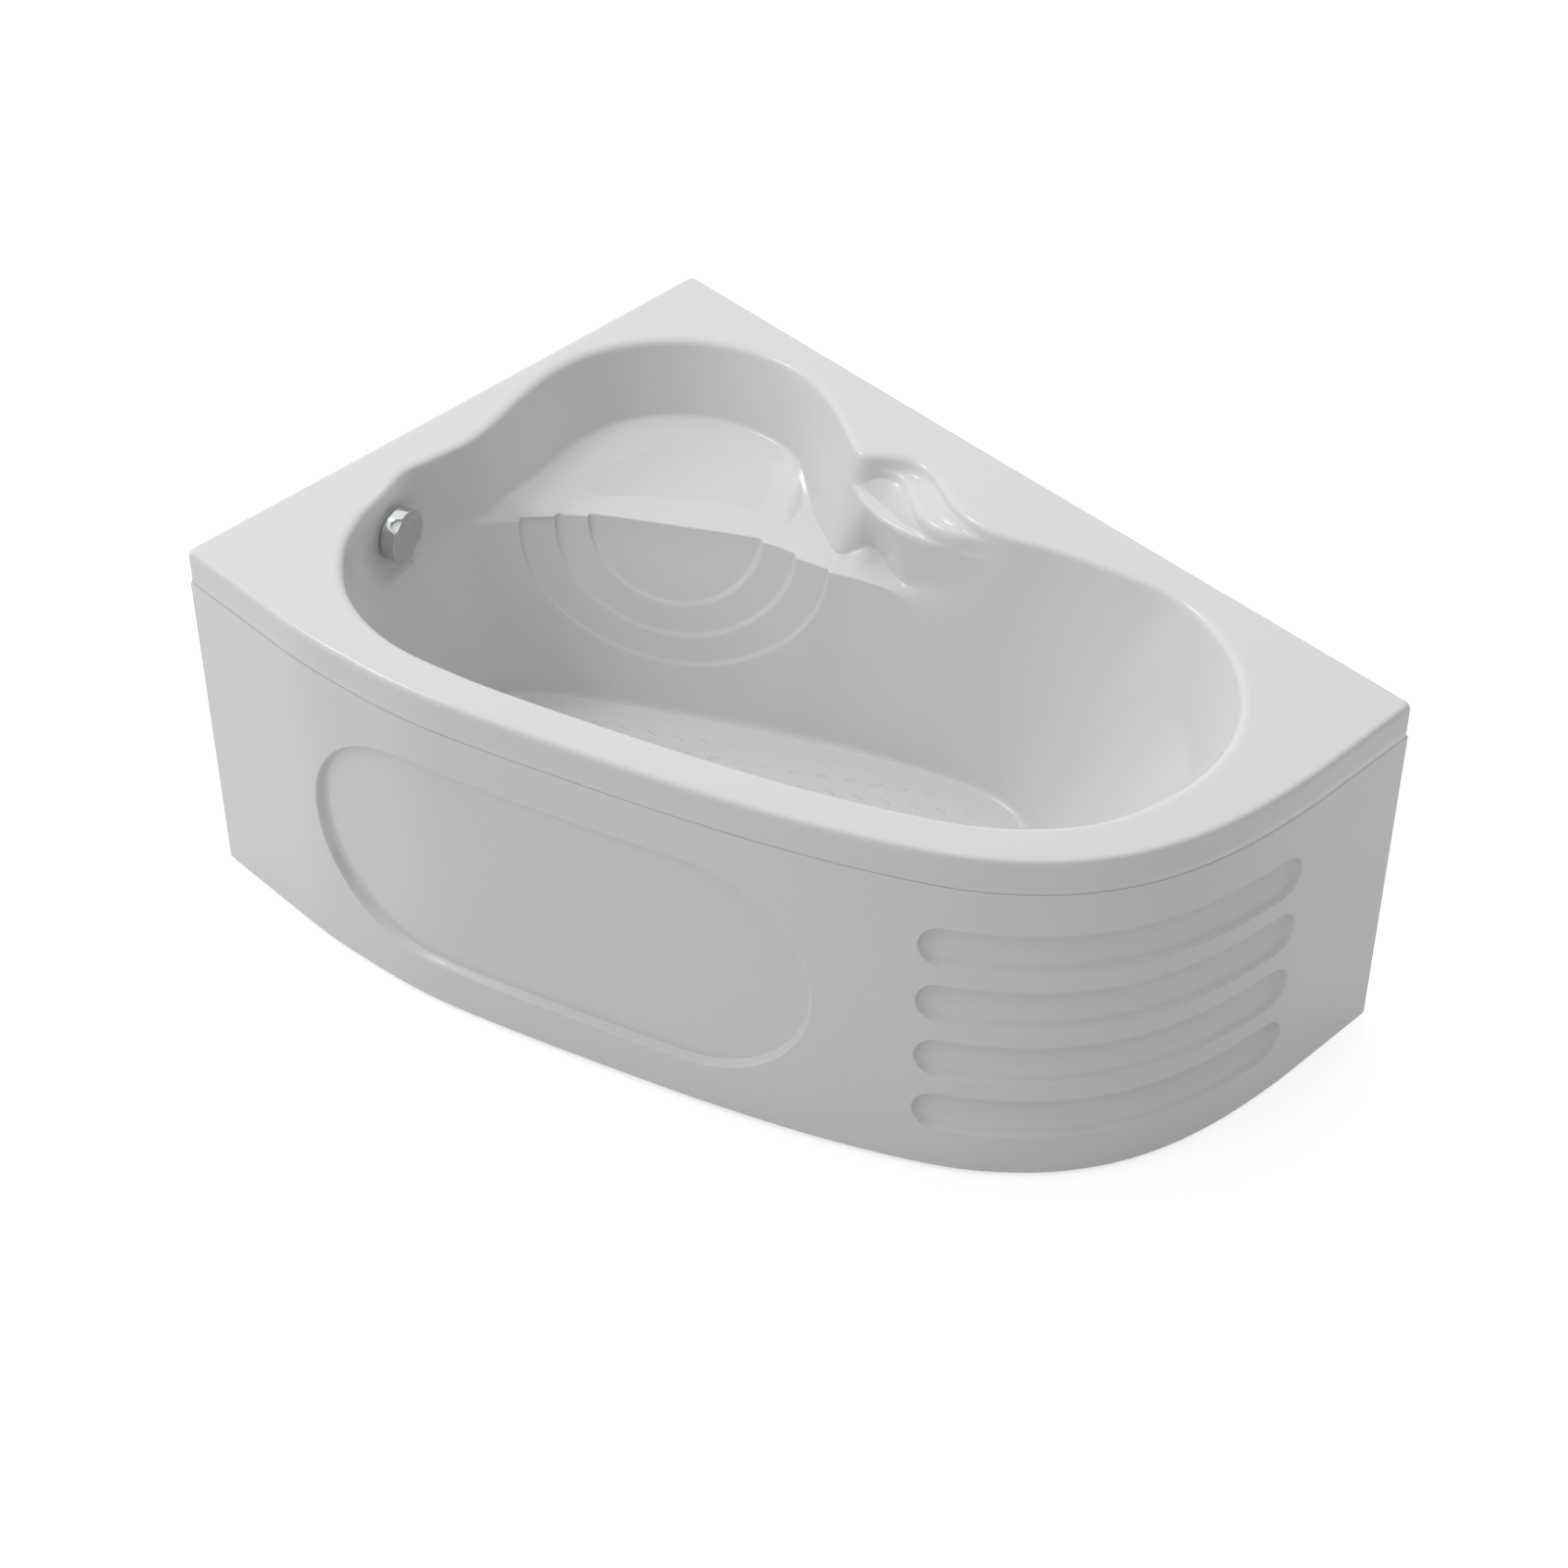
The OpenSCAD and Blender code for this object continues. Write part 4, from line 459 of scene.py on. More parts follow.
def tub_surface(arc_step, rows):
    """The tub as one closed skin: a profile of distance and depth on every ray round the well.

    A ray's profile runs down from the skirt's foot over rim, lip, soap shelves, seat and riser to
    the floor, and back under it a wall lower. Its corners are rounded by `rounded`, the riser is
    pushed out by `arc_depth`, and the wall is drawn to the plane of the knob near the knob.
    """
    u = tub_sections()
    core, dirs, seat, wall = u["core"], u["dirs"], u["seat"], SHELL_WALL
    rays = len(dirs)
    deepest = WELL_DEPTH - SEAT_DEPTH - SEAT_FALL
    edge_depth = SEAT_DEPTH + SEAT_FALL + (1 - seat) * PLAIN_SOFT
    back_reach = u["open"] - (u["open"] - u["foot"]) * u["back_depth"] / SEAT_DEPTH

    def at(reach, depth):
        return np.stack([reach, np.broadcast_to(depth, reach.shape).astype(float)], 1)

    def down_wall(depth):
        plain = u["edge"] + (u["low"] - u["edge"]) * (depth - SEAT_DEPTH - SEAT_FALL) / deepest
        return plain + seat * arc_depth(core + dirs * plain[:, None], depth, arc_step)

    def riser(t, shares):
        depths = [edge_depth + (WELL_DEPTH - edge_depth) * share for share in shares]
        return [at(down_wall(depth) + t * u["floor_slant"], depth + t) for depth in depths]

    down = riser(0, np.arange(1, rows + 1) / rows * (1 - FLOOR_COVE * COVE_RISE / deepest))
    dish_reach = u["flat"] + (u["foot"] - u["flat"]) * (1 - seat)
    # Each corner of the profile: its rounding, the points on that, and those between it and the last
    corners = [
        (at(u["rim"], 0), RIM_ROUND, 6, 2),
        (at(u["open"], 0), LIP_ROUND, 6, 2),
        (at(u["step_one"], SHELF_ONE), SHELF_ROUND, 3, 0),
        (at(u["nose_one"], SHELF_ONE + SHELF_FALL), SHELF_ROUND, 3, 0),
        (at(u["foot_two"], SHELF_TWO), SHELF_ROUND, 3, 0),
        (at(u["nose_two"], SHELF_TWO + SHELF_FALL), SHELF_ROUND, 3, 0),
        (at(back_reach, u["back_depth"]), SEAT_CREASE + (1 - seat) * PLAIN_ROUND, 5, 2),
        (at(dish_reach, SEAT_DEPTH), SEAT_DISH, 7, 1),
        (at(down_wall(edge_depth), edge_depth), SEAT_NOSE, 4, 2),
    ]
    line = [at(u["rim"], SKIRT_HIGH), *(corner[0] for corner in corners), down[0]]
    top = [line[0][None]]
    for before, (corner, cut, count, gap), after in zip(line, corners, line[2:]):
        curve = rounded(before, corner, after, cut, count)
        top += [between(top[-1][-1], curve[0], gap), curve]
    middle, low_corner = at(u["low"] * 0.0, WELL_DEPTH), at(u["low"], WELL_DEPTH)
    flat_start = low_corner + (middle - low_corner) * np.minimum(FLOOR_COVE / u["low"], COVE_MOST)[:, None]
    t = np.linspace(0, 1, COVE_POINTS + 1)[1:, None, None]
    cove = down[-1] * (1 - t) ** 2 + low_corner * 2 * t * (1 - t) + flat_start * t * t
    top += [np.stack(down), cove, between(cove[-1], middle, FLOOR_CIRCLES)]
    under = [
        at(u["low"] / 2, WELL_DEPTH + wall),
        at(u["low"] + wall * u["floor_slant"], WELL_DEPTH + wall),
        *riser(wall, UNDER_SHARES),
        at(down_wall(edge_depth) + wall * u["floor_slant"], edge_depth + wall),
        at(back_reach + wall * u["open_slant"], u["back_depth"] + wall),
        at(u["nose_two"] + wall * u["open_slant"], SHELF_TWO + SHELF_FALL + wall),
        at(u["nose_one"] + wall * u["open_slant"], SHELF_ONE + SHELF_FALL + wall),
        at(u["open"] + wall * u["open_slant"], wall),
        at(u["rim"] - wall * u["rim_slant"], wall),
        at(u["rim"] - wall * u["rim_slant"], SKIRT_HIGH),
    ]
    top, under = np.concatenate(top), np.stack(under)
    base_point, axis = knob_frame()
    facing = dirs @ axis

    def placed(profile, t):
        reach, depth = profile[..., 0], profile[..., 1]
        square = np.where(np.abs(facing) < FACING_LEAST, FACING_LEAST, facing)
        flat = ((base_point - core) @ axis - t) / square
        side = cross(axis, core + dirs * flat[:, None] - base_point)
        far = np.sqrt(side[None] ** 2 + (depth - KNOB_DEPTH) ** 2)
        near = (1 - ease((far - FLAT_INNER) / FLAT_BLEND)) * (facing < FLAT_ROUND)
        on_wall = (depth < SEAT_DEPTH) & (reach <= u["open"] + wall * SLANT_MOST)
        reach = reach + (flat - reach) * near * on_wall
        plan = core + dirs[None] * reach[..., None]
        return np.concatenate([plan, DECK_Z - depth[..., None]], -1).reshape(-1, 3)

    floor_z = DECK_Z - WELL_DEPTH
    points = np.vstack([placed(top, 0.0), placed(under, wall), [[*core, floor_z], [*core, floor_z - wall]]])
    n_top, n_all = len(top), len(top) + len(under)
    quads = grid_faces(n_all, rays)
    quads = quads[quads[:, 0] // rays != n_top - 1]
    ring = np.arange(rays)
    after = (ring + 1) % rays
    last = (n_all - 1) * rays
    closing = np.stack([last + ring, ring, after, last + after], 1)
    hub = np.full(rays, n_all * rays)
    caps = [
        np.stack([(n_top - 1) * rays + ring, hub, (n_top - 1) * rays + after], 1),
        np.stack([n_top * rays + after, hub + 1, n_top * rays + ring], 1),
    ]
    return points, [face for part in (quads, closing, *caps) for face in part.tolist()]


# Front panel: wall, gap at its ends, round of its edges and how far it reaches up into the groove
PANEL_WALL, PANEL_END_GAP, EDGE_ROUND, PANEL_RISE = 4.0, 1.0, 1.2, 1.5
EDGE_TURNS = (30, 60, 90)
# Tongue behind the skirt, and the shoulder that carries it and starts inside the panel's wall
TONGUE_WALL, TONGUE_INSET, STRIP_STOPS = 4.0, SHELL_WALL + 5.0, 260
SHOULDER_HIGH, SHOULDER_TOP, SHOULDER_START = 5.0, PANEL_TOP - 2.0, PANEL_WALL - 1.0
# Recesses: where they begin and end as shares of the front's length, depths, heights and pitch
OVAL_SPAN_SHARE, SLOT_SPAN_SHARE = (0.125, 0.534), (0.609, 0.895)
OVAL_DEPTH, SLOT_DEPTH = 13.0, 18.0
OVAL_HIGH, SLOT_HIGH, SLOT_PITCH, SLOT_COUNT = 411.0, 75.0, 112.0, 4
RECESS_TOP = DECK_Z - 142.0
# Share of its depth that a recess loses down to its foot, which makes it a scoop where above 0
OVAL_TILT, SLOT_TILT, TILT_POWER = 0.0, 0.55, 1.5
# A scoop's soft edge, and its width as a share of half its height
SCOOP_EDGE, SCOOP_SHARE = 1.5, 0.6
# Share of a plain recess's soft wall that lies inside its edge
SOFT_INSIDE = 0.72
# Rings of faces inside a recess, over its soft wall, and as shares of the way out to its patch
RINGS_INSIDE, RINGS_WALL, RINGS_OUT = 9, 12, (0.15, 0.4, 0.7, 1.0)
# Faces in half an end of a patch, along the oval and a slot, and up a slot's side, and a strip's width
END_FACES, OVAL_FACES, SLOT_FACES, SIDE_FACES, STRIP_FACE = 8, 60, 70, 12, 25.0
PATCH_MARGIN = 22.0
# Even steps along the front, in millimetres, and how many to each side share a normal
FRONT_STEP, FRONT_SHARED = 2.0, 12


class FrontLine:
    """The rim's front outline as a curve by length, with a normal that points into the tub."""

    def __init__(self):
        self.points = tub_lines()[0]
        steps = np.linalg.norm(np.diff(self.points, axis=0), axis=1)
        self.lengths = np.concatenate([[0], np.cumsum(steps)])
        self.total = self.lengths[-1]
        self.even = np.arange(0, self.total, FRONT_STEP)
        line = np.stack([np.interp(self.even, self.lengths, side) for side in self.points.T], 1)
        ahead = np.gradient(line, axis=0)
        square = np.stack([-ahead[:, 1], ahead[:, 0]], 1)
        padded = np.pad(square, ((FRONT_SHARED, FRONT_SHARED), (0, 0)), "edge")
        even_share = np.full(2 * FRONT_SHARED + 1, 1 / (2 * FRONT_SHARED + 1))
        shared = [np.convolve(side, even_share, "valid") for side in padded.T]
        self.normals = toward(np.stack(shared, 1))

    def at(self, s, inset):
        """Plan points at lengths s, inset towards the tub."""
        base = np.stack([np.interp(s, self.lengths, side) for side in self.points.T], -1)
        normal = np.stack([np.interp(s, self.even, side) for side in self.normals.T], -1)
        return base + toward(normal) * np.asarray(inset)[..., None]


def stadium_distance(s, z, recess):
    """Signed distance from the edge of a recess with round ends, below zero inside it."""
    s1, s2, z1, z2 = recess[:4]
    r, middle = (z2 - z1) / 2, (z1 + z2) / 2
    return np.hypot(s - np.clip(s, s1 + r, s2 - r), z - middle) - r


def recess_profile(distance, recess, soft, z):
    """Depth of a recess. A plain one has a wall that is an S between a soft edge and a soft foot; a
    scooped one is a quarter ellipse sqrt(1 - (1 - x/w)^2) that gets shallower towards its foot."""
    _, _, z1, z2, deep, tilt = recess
    if not tilt:
        return deep * (1 - ease_more((distance + soft * SOFT_INSIDE) / soft))
    x = np.clip(SCOOP_EDGE - distance, 0, None)
    x = np.where(x < 2 * SCOOP_EDGE, x * x / (4 * SCOOP_EDGE), x - SCOOP_EDGE)
    width = (z2 - z1) / 2 * SCOOP_SHARE
    scoop = np.sqrt(1 - (1 - np.clip(x / width, 0, 1)) ** 2)
    return deep * scoop * (1 - tilt * np.clip((z2 - z) / (z2 - z1), 0, 1) ** TILT_POWER)


def recess_patch(recess, box, sides, soft, along):
    """Points (s, z) and quads that fill a box round one recess in rings that follow its edge.

    Rings inside the recess run from its middle line to its edge, and rings outside it run from the
    edge to the box. The box's short sides carry exactly the heights in sides.
    """
    s1, s2, z1, z2 = recess[:4]
    low_s, high_s, low_z, high_z = box
    r, middle = (z2 - z1) / 2, (z1 + z2) / 2
    straight = np.linspace(s1 + r, s2 - r, along + 1)
    count = len(sides)

    def level(values, height):
        return np.stack([values, np.full(len(values), height)], 1)

    def half(sign, end, far):
        """Hub, directions and place on the box of each point round one end, from the top down."""
        turn = np.radians(np.concatenate([
            np.linspace(90, 45, END_FACES + 1)[1:-1],
            np.linspace(45, -45, count),
            np.linspace(-45, -90, END_FACES + 1)[1:-1],
        ]))
        reach = np.linspace(end, far, END_FACES + 1)[1:-1]
        side = np.stack([np.full(count, far), sides[::-1]], 1)
        outer = np.vstack([level(reach, high_z), side, level(reach[::-1], low_z)])
        return np.full(len(turn), end), np.stack([sign * np.cos(turn), np.sin(turn)], 1), outer

    right, left = half(1, s2 - r, high_s), half(-1, s1 + r, low_s)
    hub_s = np.concatenate([straight, right[0], straight[::-1], left[0][::-1]])
    up, down = np.tile([0, 1], (along + 1, 1)), np.tile([0, -1], (along + 1, 1))
    unit = np.vstack([up, right[1], down, left[1][::-1]])
    outer = np.vstack([level(straight, high_z), right[2], level(straight[::-1], low_z), left[2][::-1]])
    hub = level(hub_s, middle)
    start = r - soft * SOFT_INSIDE
    inside = [start * k / RINGS_INSIDE for k in range(RINGS_INSIDE)]
    inside += [start + soft * k / RINGS_WALL for k in range(RINGS_WALL + 1)]
    rings = [hub + unit * d for d in inside]
    rings += [rings[-1] + (outer - rings[-1]) * t for t in RINGS_OUT]
    return np.concatenate(rings), grid_faces(len(rings), len(hub))


def strip_patch(low_s, high_s, heights):
    """Points and quads of a plain strip with the same heights on both sides."""
    columns = max(2, int((high_s - low_s) / STRIP_FACE))
    s = np.linspace(low_s, high_s, columns + 1)
    points = np.stack(np.meshgrid(s, heights, indexing="ij"), -1).reshape(-1, 2)
    return points, grid_faces(columns + 1, len(heights), closed=False)


def welded(points, faces, size=1e-3):
    """Points joined where they lie in one cell of that size, with faces that fell flat left out."""
    keys = np.round(points / size).astype(np.int64)
    _, first, back = np.unique(keys, axis=0, return_index=True, return_inverse=True)
    joined = ([v for k, v in enumerate(face) if v != face[k - 1]] for face in back.reshape(-1)[faces])
    return points[first], [face for face in joined if len(set(face)) > 2]


def panel_sheet(line, recesses, soft):
    """Points (s, z) and faces of the flat sheet round the recesses, and the sheet's own box."""
    s_low, s_high = PANEL_END_GAP + EDGE_ROUND, line.total - PANEL_END_GAP - EDGE_ROUND
    z_low, z_high = PANEL_LOW + EDGE_ROUND, PANEL_TOP + PANEL_RISE - EDGE_ROUND
    oval, slots = recesses[0], recesses[1:]
    cuts = [z_high] + [(upper[2] + lower[3]) / 2 for upper, lower in zip(slots, slots[1:])] + [z_low]
    heights = [np.linspace(low, high, SIDE_FACES + 1) for high, low in zip(cuts, cuts[1:])]
    heights = [np.round(values, 6) for values in heights]
    sides = np.unique(np.concatenate(heights))
    a, b = oval[0] - PATCH_MARGIN, oval[1] + PATCH_MARGIN
    c, d = slots[0][0] - PATCH_MARGIN, slots[0][1] + PATCH_MARGIN
    parts = [
        strip_patch(s_low, a, sides),
        recess_patch(oval, (a, b, z_low, z_high), sides, soft, OVAL_FACES),
        strip_patch(b, c, sides),
        strip_patch(d, s_high, sides),
    ]
    for slot, high, low, own in zip(slots, cuts, cuts[1:], heights):
        parts.append(recess_patch(slot, (c, d, low, high), own, soft, SLOT_FACES))
    base, faces = 0, []
    for p, f in parts:
        area = cross(p[f[:, 2]] - p[f[:, 0]], p[f[:, 3]] - p[f[:, 1]]).sum()
        faces.append((f if area < 0 else f[:, ::-1]) + base)
        base += len(p)
    points, faces = welded(np.vstack([p for p, _ in parts]), np.vstack(faces))
    return points, faces, (s_low, s_high), (z_low, z_high)


def panel_surface(line, recesses, soft):
    """The panel as one closed skin: a flat sheet in length s and height z with its recesses pressed
    in, a back a wall behind it, and a quarter round along every edge."""
    points, faces, s_ends, z_ends = panel_sheet(line, recesses, soft)
    s, z = points.T
    depth = np.zeros(len(points))
    for recess in recesses:
        depth = np.maximum(depth, recess_profile(stadium_distance(s, z, recess), recess, soft, z))
    away = np.stack([np.isclose(v, high) * 1.0 - np.isclose(v, low)
                     for v, (low, high) in ((s, s_ends), (z, z_ends))], 1)
    border = away.any(1)
    rows = [np.column_stack([points, depth])]
    for turn in np.radians(EDGE_TURNS):
        moved = points + away * EDGE_ROUND * math.sin(turn)
        rows.append(np.column_stack([moved, depth + EDGE_ROUND * (1 - math.cos(turn))])[border])
    rows.append(np.column_stack([points + away * EDGE_ROUND, depth + PANEL_WALL]))
    edges = dict.fromkeys((face[k - 1], v) for face in faces for k, v in enumerate(face))
    rim = [(u, v) for u, v in edges if (v, u) not in edges and border[u] and border[v]]
    rim = np.array(rim).reshape(-1, 2)
    offset = np.cumsum([0] + [len(row) for row in rows])
    number = np.cumsum(border) - 1
    placed = [rim] + [number[rim] + start for start in offset[1:-2]] + [rim + offset[-2]]
    whole = [[int(v) for v in face] for face in faces]
    whole += [[int(v + offset[-2]) for v in face[::-1]] for face in faces]
    for upper, lower in zip(placed, placed[1:]):
        whole += np.stack([upper[:, 1], upper[:, 0], lower[:, 0], lower[:, 1]], 1).tolist()
    rows = np.vstack(rows)
    return np.column_stack([line.at(rows[:, 0], rows[:, 2]), rows[:, 1]]), whole


def box_strip(line, s1, s2, profile):
    """A closed strip along the front: a section of inset and height swept from s1 to s2."""
    section = np.array(profile, float)
    count = len(section)
    s, inset = (v.ravel() for v in np.meshgrid(
        np.linspace(s1, s2, STRIP_STOPS), section[:, 0], indexing="ij"))
    points = np.column_stack([line.at(s, inset), np.tile(section[:, 1], STRIP_STOPS)])
    faces = grid_faces(STRIP_STOPS, count).tolist()
    last = (STRIP_STOPS - 1) * count
    return points, faces + [list(range(count))[::-1], [last + k for k in range(count)]]


# Turned chrome fittings
def spun(radius, along, centre, axis, side):
    """A closed skin centre + axis x + (side cos a + up sin a) r, in distance x along an axis and
    angle a round it. It ends in points on the axis where its first and last circles have no radius,
    and else its last circle joins its first. Its faces point outwards."""
    turns = radius.shape[1]
    here = np.arange(turns)
    angle = here / turns * 2 * math.pi
    ring = np.cos(angle)[:, None] * side + np.sin(angle)[:, None] * np.cross(axis, side)
    pointed = not radius[[0, -1]].any()
    body = slice(1, -1) if pointed else slice(None)
    points = centre + along[body, None, None] * axis + radius[body, :, None] * ring
    faces, last = grid_faces(len(points), turns)[:, ::-1].tolist(), (len(points) - 1) * turns
    points, after = points.reshape(-1, 3), (here + 1) % turns
    if pointed:
        hub = np.full(turns, len(points))
        points = np.vstack([points, centre + along[[0, -1], None] * axis])
        faces += np.stack([after, here, hub], 1).tolist()
        faces += np.stack([last + here, last + after, hub + 1], 1).tolist()
    else:
        faces += np.stack([here, last + here, last + after, after], 1).tolist()
    return points, outward(points, faces)


def revolved(profile, centre, axis, turns=144):
    """A profile of points (radius, distance along the axis) turned round a line through centre."""
    radius, along = np.array(profile, float).T
    axis = np.array(axis, float)
    side = toward(np.cross(axis, [0, 0, 1])) if abs(axis[2]) < 1 else np.array([1.0, 0.0, 0.0])
    return spun(np.repeat(radius[:, None], turns, 1), along, centre, axis, side)


def arc(centre, radius, start, end, steps):
    """Points of a small arc in a profile, angles in degrees from the outward direction."""
    angle = np.radians(np.linspace(start, end, steps))
    return np.stack([centre[0] + radius * np.cos(angle), centre[1] + radius * np.sin(angle)], 1)


def round_size(node):
    """Radius in millimetres of a turned node whose axis lies level."""
    low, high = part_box(node)
    return (high[2] - low[2]) / MM / 2


# Knob: radius, distances of its foot and face from the wall, roundings, and dish of its face
KNOB_R, KNOB_FOOT, KNOB_FACE = round_size("overflow_knob"), 7.5, 29.5
KNOB_FOOT_ROUND, KNOB_EDGE, KNOB_DISH = 0.8, 1.2, 0.5
# Flat band at the edge of the knob's face, and width of the fall from it to the dish
KNOB_BAND, KNOB_FALL = 3.0, 6.0
# Circles of faces up the knob's side, faces round it, and radii of the circles on foot and face
KNOB_CIRCLES, KNOB_TURNS, KNOB_FOOT_RADII = 34, 288, (0.0, 2.0, KNOB_R - 12.0, KNOB_R - 1.0)
KNOB_FACE_RADII = (37.5, 36.5, 35.5, 34.5, 33.0, 31.0, 24.0, 16.0, 8.0, 2.0)
# Finger scoops: angles round the knob, half width, depth, length, and radii where they fade in
GRIP_TURNS = (math.radians(122), math.radians(-58))
GRIP_WIDE, GRIP_DEEP, GRIP_LONG, GRIP_FROM, GRIP_BLEND = 11.5, 5.5, 14.0, 22.0, 12.0
# Radius of the holes for waste and overflow, the waste's distance from the knob, the plug's height
HOLE_R, WASTE_REACH, PLUG_HIGH = 26.0, 235.0, 3.3
# Profiles of the turned fittings, as radius and distance from the wall or the floor
RING_R = round_size("overflow_ring")
RING_PROFILE = [
    (21, -28), (24, -28), (24, 0.3), (RING_R - 0.8, 0.3), *arc((RING_R - 1.8, 1.3), 1.8, -56, 0, 4),
    *arc((RING_R - 1.8, 3.7), 1.8, 0, 90, 6), (30, 5.9), (24, 6.0), (21, 6.0),
]
FLANGE_PROFILE = [
    (21, -26), (24, -26), (24, 0), (34.6, 0), *arc((34.2, 0.8), 0.8, -60, 60, 5), (32, 2.3), (29, 2.9),
    (27, 3.0), (25.5, 2.9), (23.2, 2.2), (21.6, 0.8), (21, -1.5),
]
PLUG_PROFILE = [
    (0, -52), (3.4, -52), (4, -51.4), (4, -1.5), (5.5, 0.2), (25.6, 0.1),
    *arc((25.8, 1.2), 1.2, -80, 60, 6), *((r, 6 - 3.4 * (r / 26) ** 2) for r in range(24, 0, -4)), (0, 6),
]


def fitting_places():
    """Middle of the knob's flat, its axis into the well, and middle of the waste on the floor."""
    base, level = knob_frame()
    waste = [*(base + level * WASTE_REACH), DECK_Z - WELL_DEPTH]
    return np.array([*base, DECK_Z - KNOB_DEPTH]), np.array([*level, 0.0]), np.array(waste)


def knob_surface():
    """The knob: a drum with a small rounded edge and a nearly flat face, whose side is a grid in
    angle a and distance x, drawn in by finger scoops deep * sqrt(1 - (a/wide)^2 - (x/long)^2)."""
    centre, axis, _ = fitting_places()
    foot = KNOB_FOOT + KNOB_FOOT_ROUND
    side = np.linspace(KNOB_FOOT + KNOB_EDGE, KNOB_FACE - KNOB_EDGE, KNOB_CIRCLES)[1:-1]
    face = [(r, KNOB_FACE - KNOB_DISH * ease((KNOB_R - KNOB_BAND - r) / KNOB_FALL))
            for r in KNOB_FACE_RADII]
    radius, along = np.array([
        *((r, KNOB_FOOT) for r in KNOB_FOOT_RADII),
        *arc((KNOB_R - KNOB_FOOT_ROUND, foot), KNOB_FOOT_ROUND, -90, 0, 4),
        *((KNOB_R, x) for x in side),
        *arc((KNOB_R - KNOB_EDGE, KNOB_FACE - KNOB_EDGE), KNOB_EDGE, 0, 90, 7),
        *face, (0.0, KNOB_FACE - KNOB_DISH),
    ]).T
    angle = np.arange(KNOB_TURNS) / KNOB_TURNS * 2 * math.pi
    radius, down = np.repeat(radius[:, None], KNOB_TURNS, 1), (KNOB_FACE - along[:, None]) / GRIP_LONG
    draw = 0.0
    for middle in GRIP_TURNS:
        off = np.angle(np.exp(1j * (angle - middle))) * KNOB_R / GRIP_WIDE
        draw = draw + GRIP_DEEP * np.sqrt(np.clip(1 - off**2 - down**2, 0, 1))
    radius = radius - draw * ease((radius - GRIP_FROM) / GRIP_BLEND)
    return spun(radius, along, centre, axis, np.array([-axis[1], axis[0], 0.0]))


# Materials
def close_material(tree, inputs):
    """Ends a tree in a Principled shader with those inputs and the material's output."""
    add_node(tree, "OutputMaterial", [add_node(tree, "BsdfPrincipled", inputs)])


def close_skin(tree, tone, rough, raised, **inputs):
    """Ends a tree in a shader whose colour runs by tone, a (factor, first, second), whose roughness
    is a number or runs smoothly by a (factor, from, to, least, most), and whose skin is raised by a
    (height, millimetres), over the normal that inputs may give."""
    tone = dict(zip((FACTOR, FIRST, SECOND), tone))
    if isinstance(rough, tuple):
        rough = add_node(tree, "MapRange", rough, interpolation_type="SMOOTHSTEP")
    raised = {"Height": raised[0], "Distance": raised[1] * MM}
    if "Normal" in inputs:
        raised["Normal"] = inputs["Normal"]
    close_material(tree, inputs | {
        "Base Color": add_node(tree, "Mix", tone, data_type="RGBA").outputs[MIXED],
        "Roughness": rough,
        "Normal": add_node(tree, "Bump", raised),
    })


def acrylic(name, light, dark):
    """Sanitary acrylic, vacuum-moulded and gloss white: a hard clear skin over a white body whose
    tone drifts over 420 mm, with faint wear 35 mm across, the orange peel of moulding 12 mm across,
    and on the well's floor the raised dashes of an anti-slip tread."""
    material, tree = new_material(name)
    place = add_node(tree, "TexCoord").outputs["Object"]
    drift = add_node(tree, "TexNoise", {"Vector": place, "Scale": METRE / 420, "Detail": 1.0})
    worn = add_node(tree, "TexNoise", {"Vector": place, "Scale": METRE / 35, "Detail": 4.0})
    peel = add_node(tree, "TexNoise", {"Vector": place, "Scale": METRE / 12, "Detail": 2.0})
    peel = add_node(tree, "Bump", {"Height": peel, "Distance": 0.05 * MM})
    close_skin(tree, (drift, dark, light), (worn, 0.35, 0.7, 0.19, 0.25),
               (tread_height(tree, place), TREAD_HIGH), Normal=peel, IOR=1.49)
    return material


# Tread: distance of its rows, step of its dashes along them, width and height, in millimetres, turn
# of the rows, lean of the dashes to left and right in turn, and half length as a share of the step
TREAD_ROW, TREAD_DASH, TREAD_WIDE, TREAD_HIGH = 34.0, 44.0, 4.5, 1.0
TREAD_TURN, TREAD_LEAN, TREAD_HALF = math.radians(32), 1.1, 0.14
# Each step of its height: a name, a Math node's operation, and names or numbers that go into it
TREAD_STEPS = (
    ("row", "FLOOR", "across"),
    ("odd", "FLOORED_MODULO", "row", 2.0),
    ("shifted", "MULTIPLY_ADD", "odd", 0.5, "along"),
    ("u", "FRACT", "shifted"),
    ("u", "SUBTRACT", "u", 0.5),
    ("v", "FRACT", "across"),
    ("v", "SUBTRACT", "v", 0.5),
    ("lean", "SUBTRACT", "odd", 0.5),
    ("lean", "MULTIPLY", "lean", TREAD_LEAN),
    ("v", "MULTIPLY_ADD", "u", "lean", "v"),
    ("v", "MULTIPLY", "v", TREAD_ROW),
    ("v", "POWER", "v", 2.0),
    ("u", "ABSOLUTE", "u"),
    ("u", "SUBTRACT", "u", TREAD_HALF),
    ("u", "MAXIMUM", "u", 0.0),
    ("u", "MULTIPLY", "u", TREAD_DASH),
    ("u", "POWER", "u", 2.0),
    ("far", "ADD", "u", "v"),
    ("far", "SQRT", "far"),
)


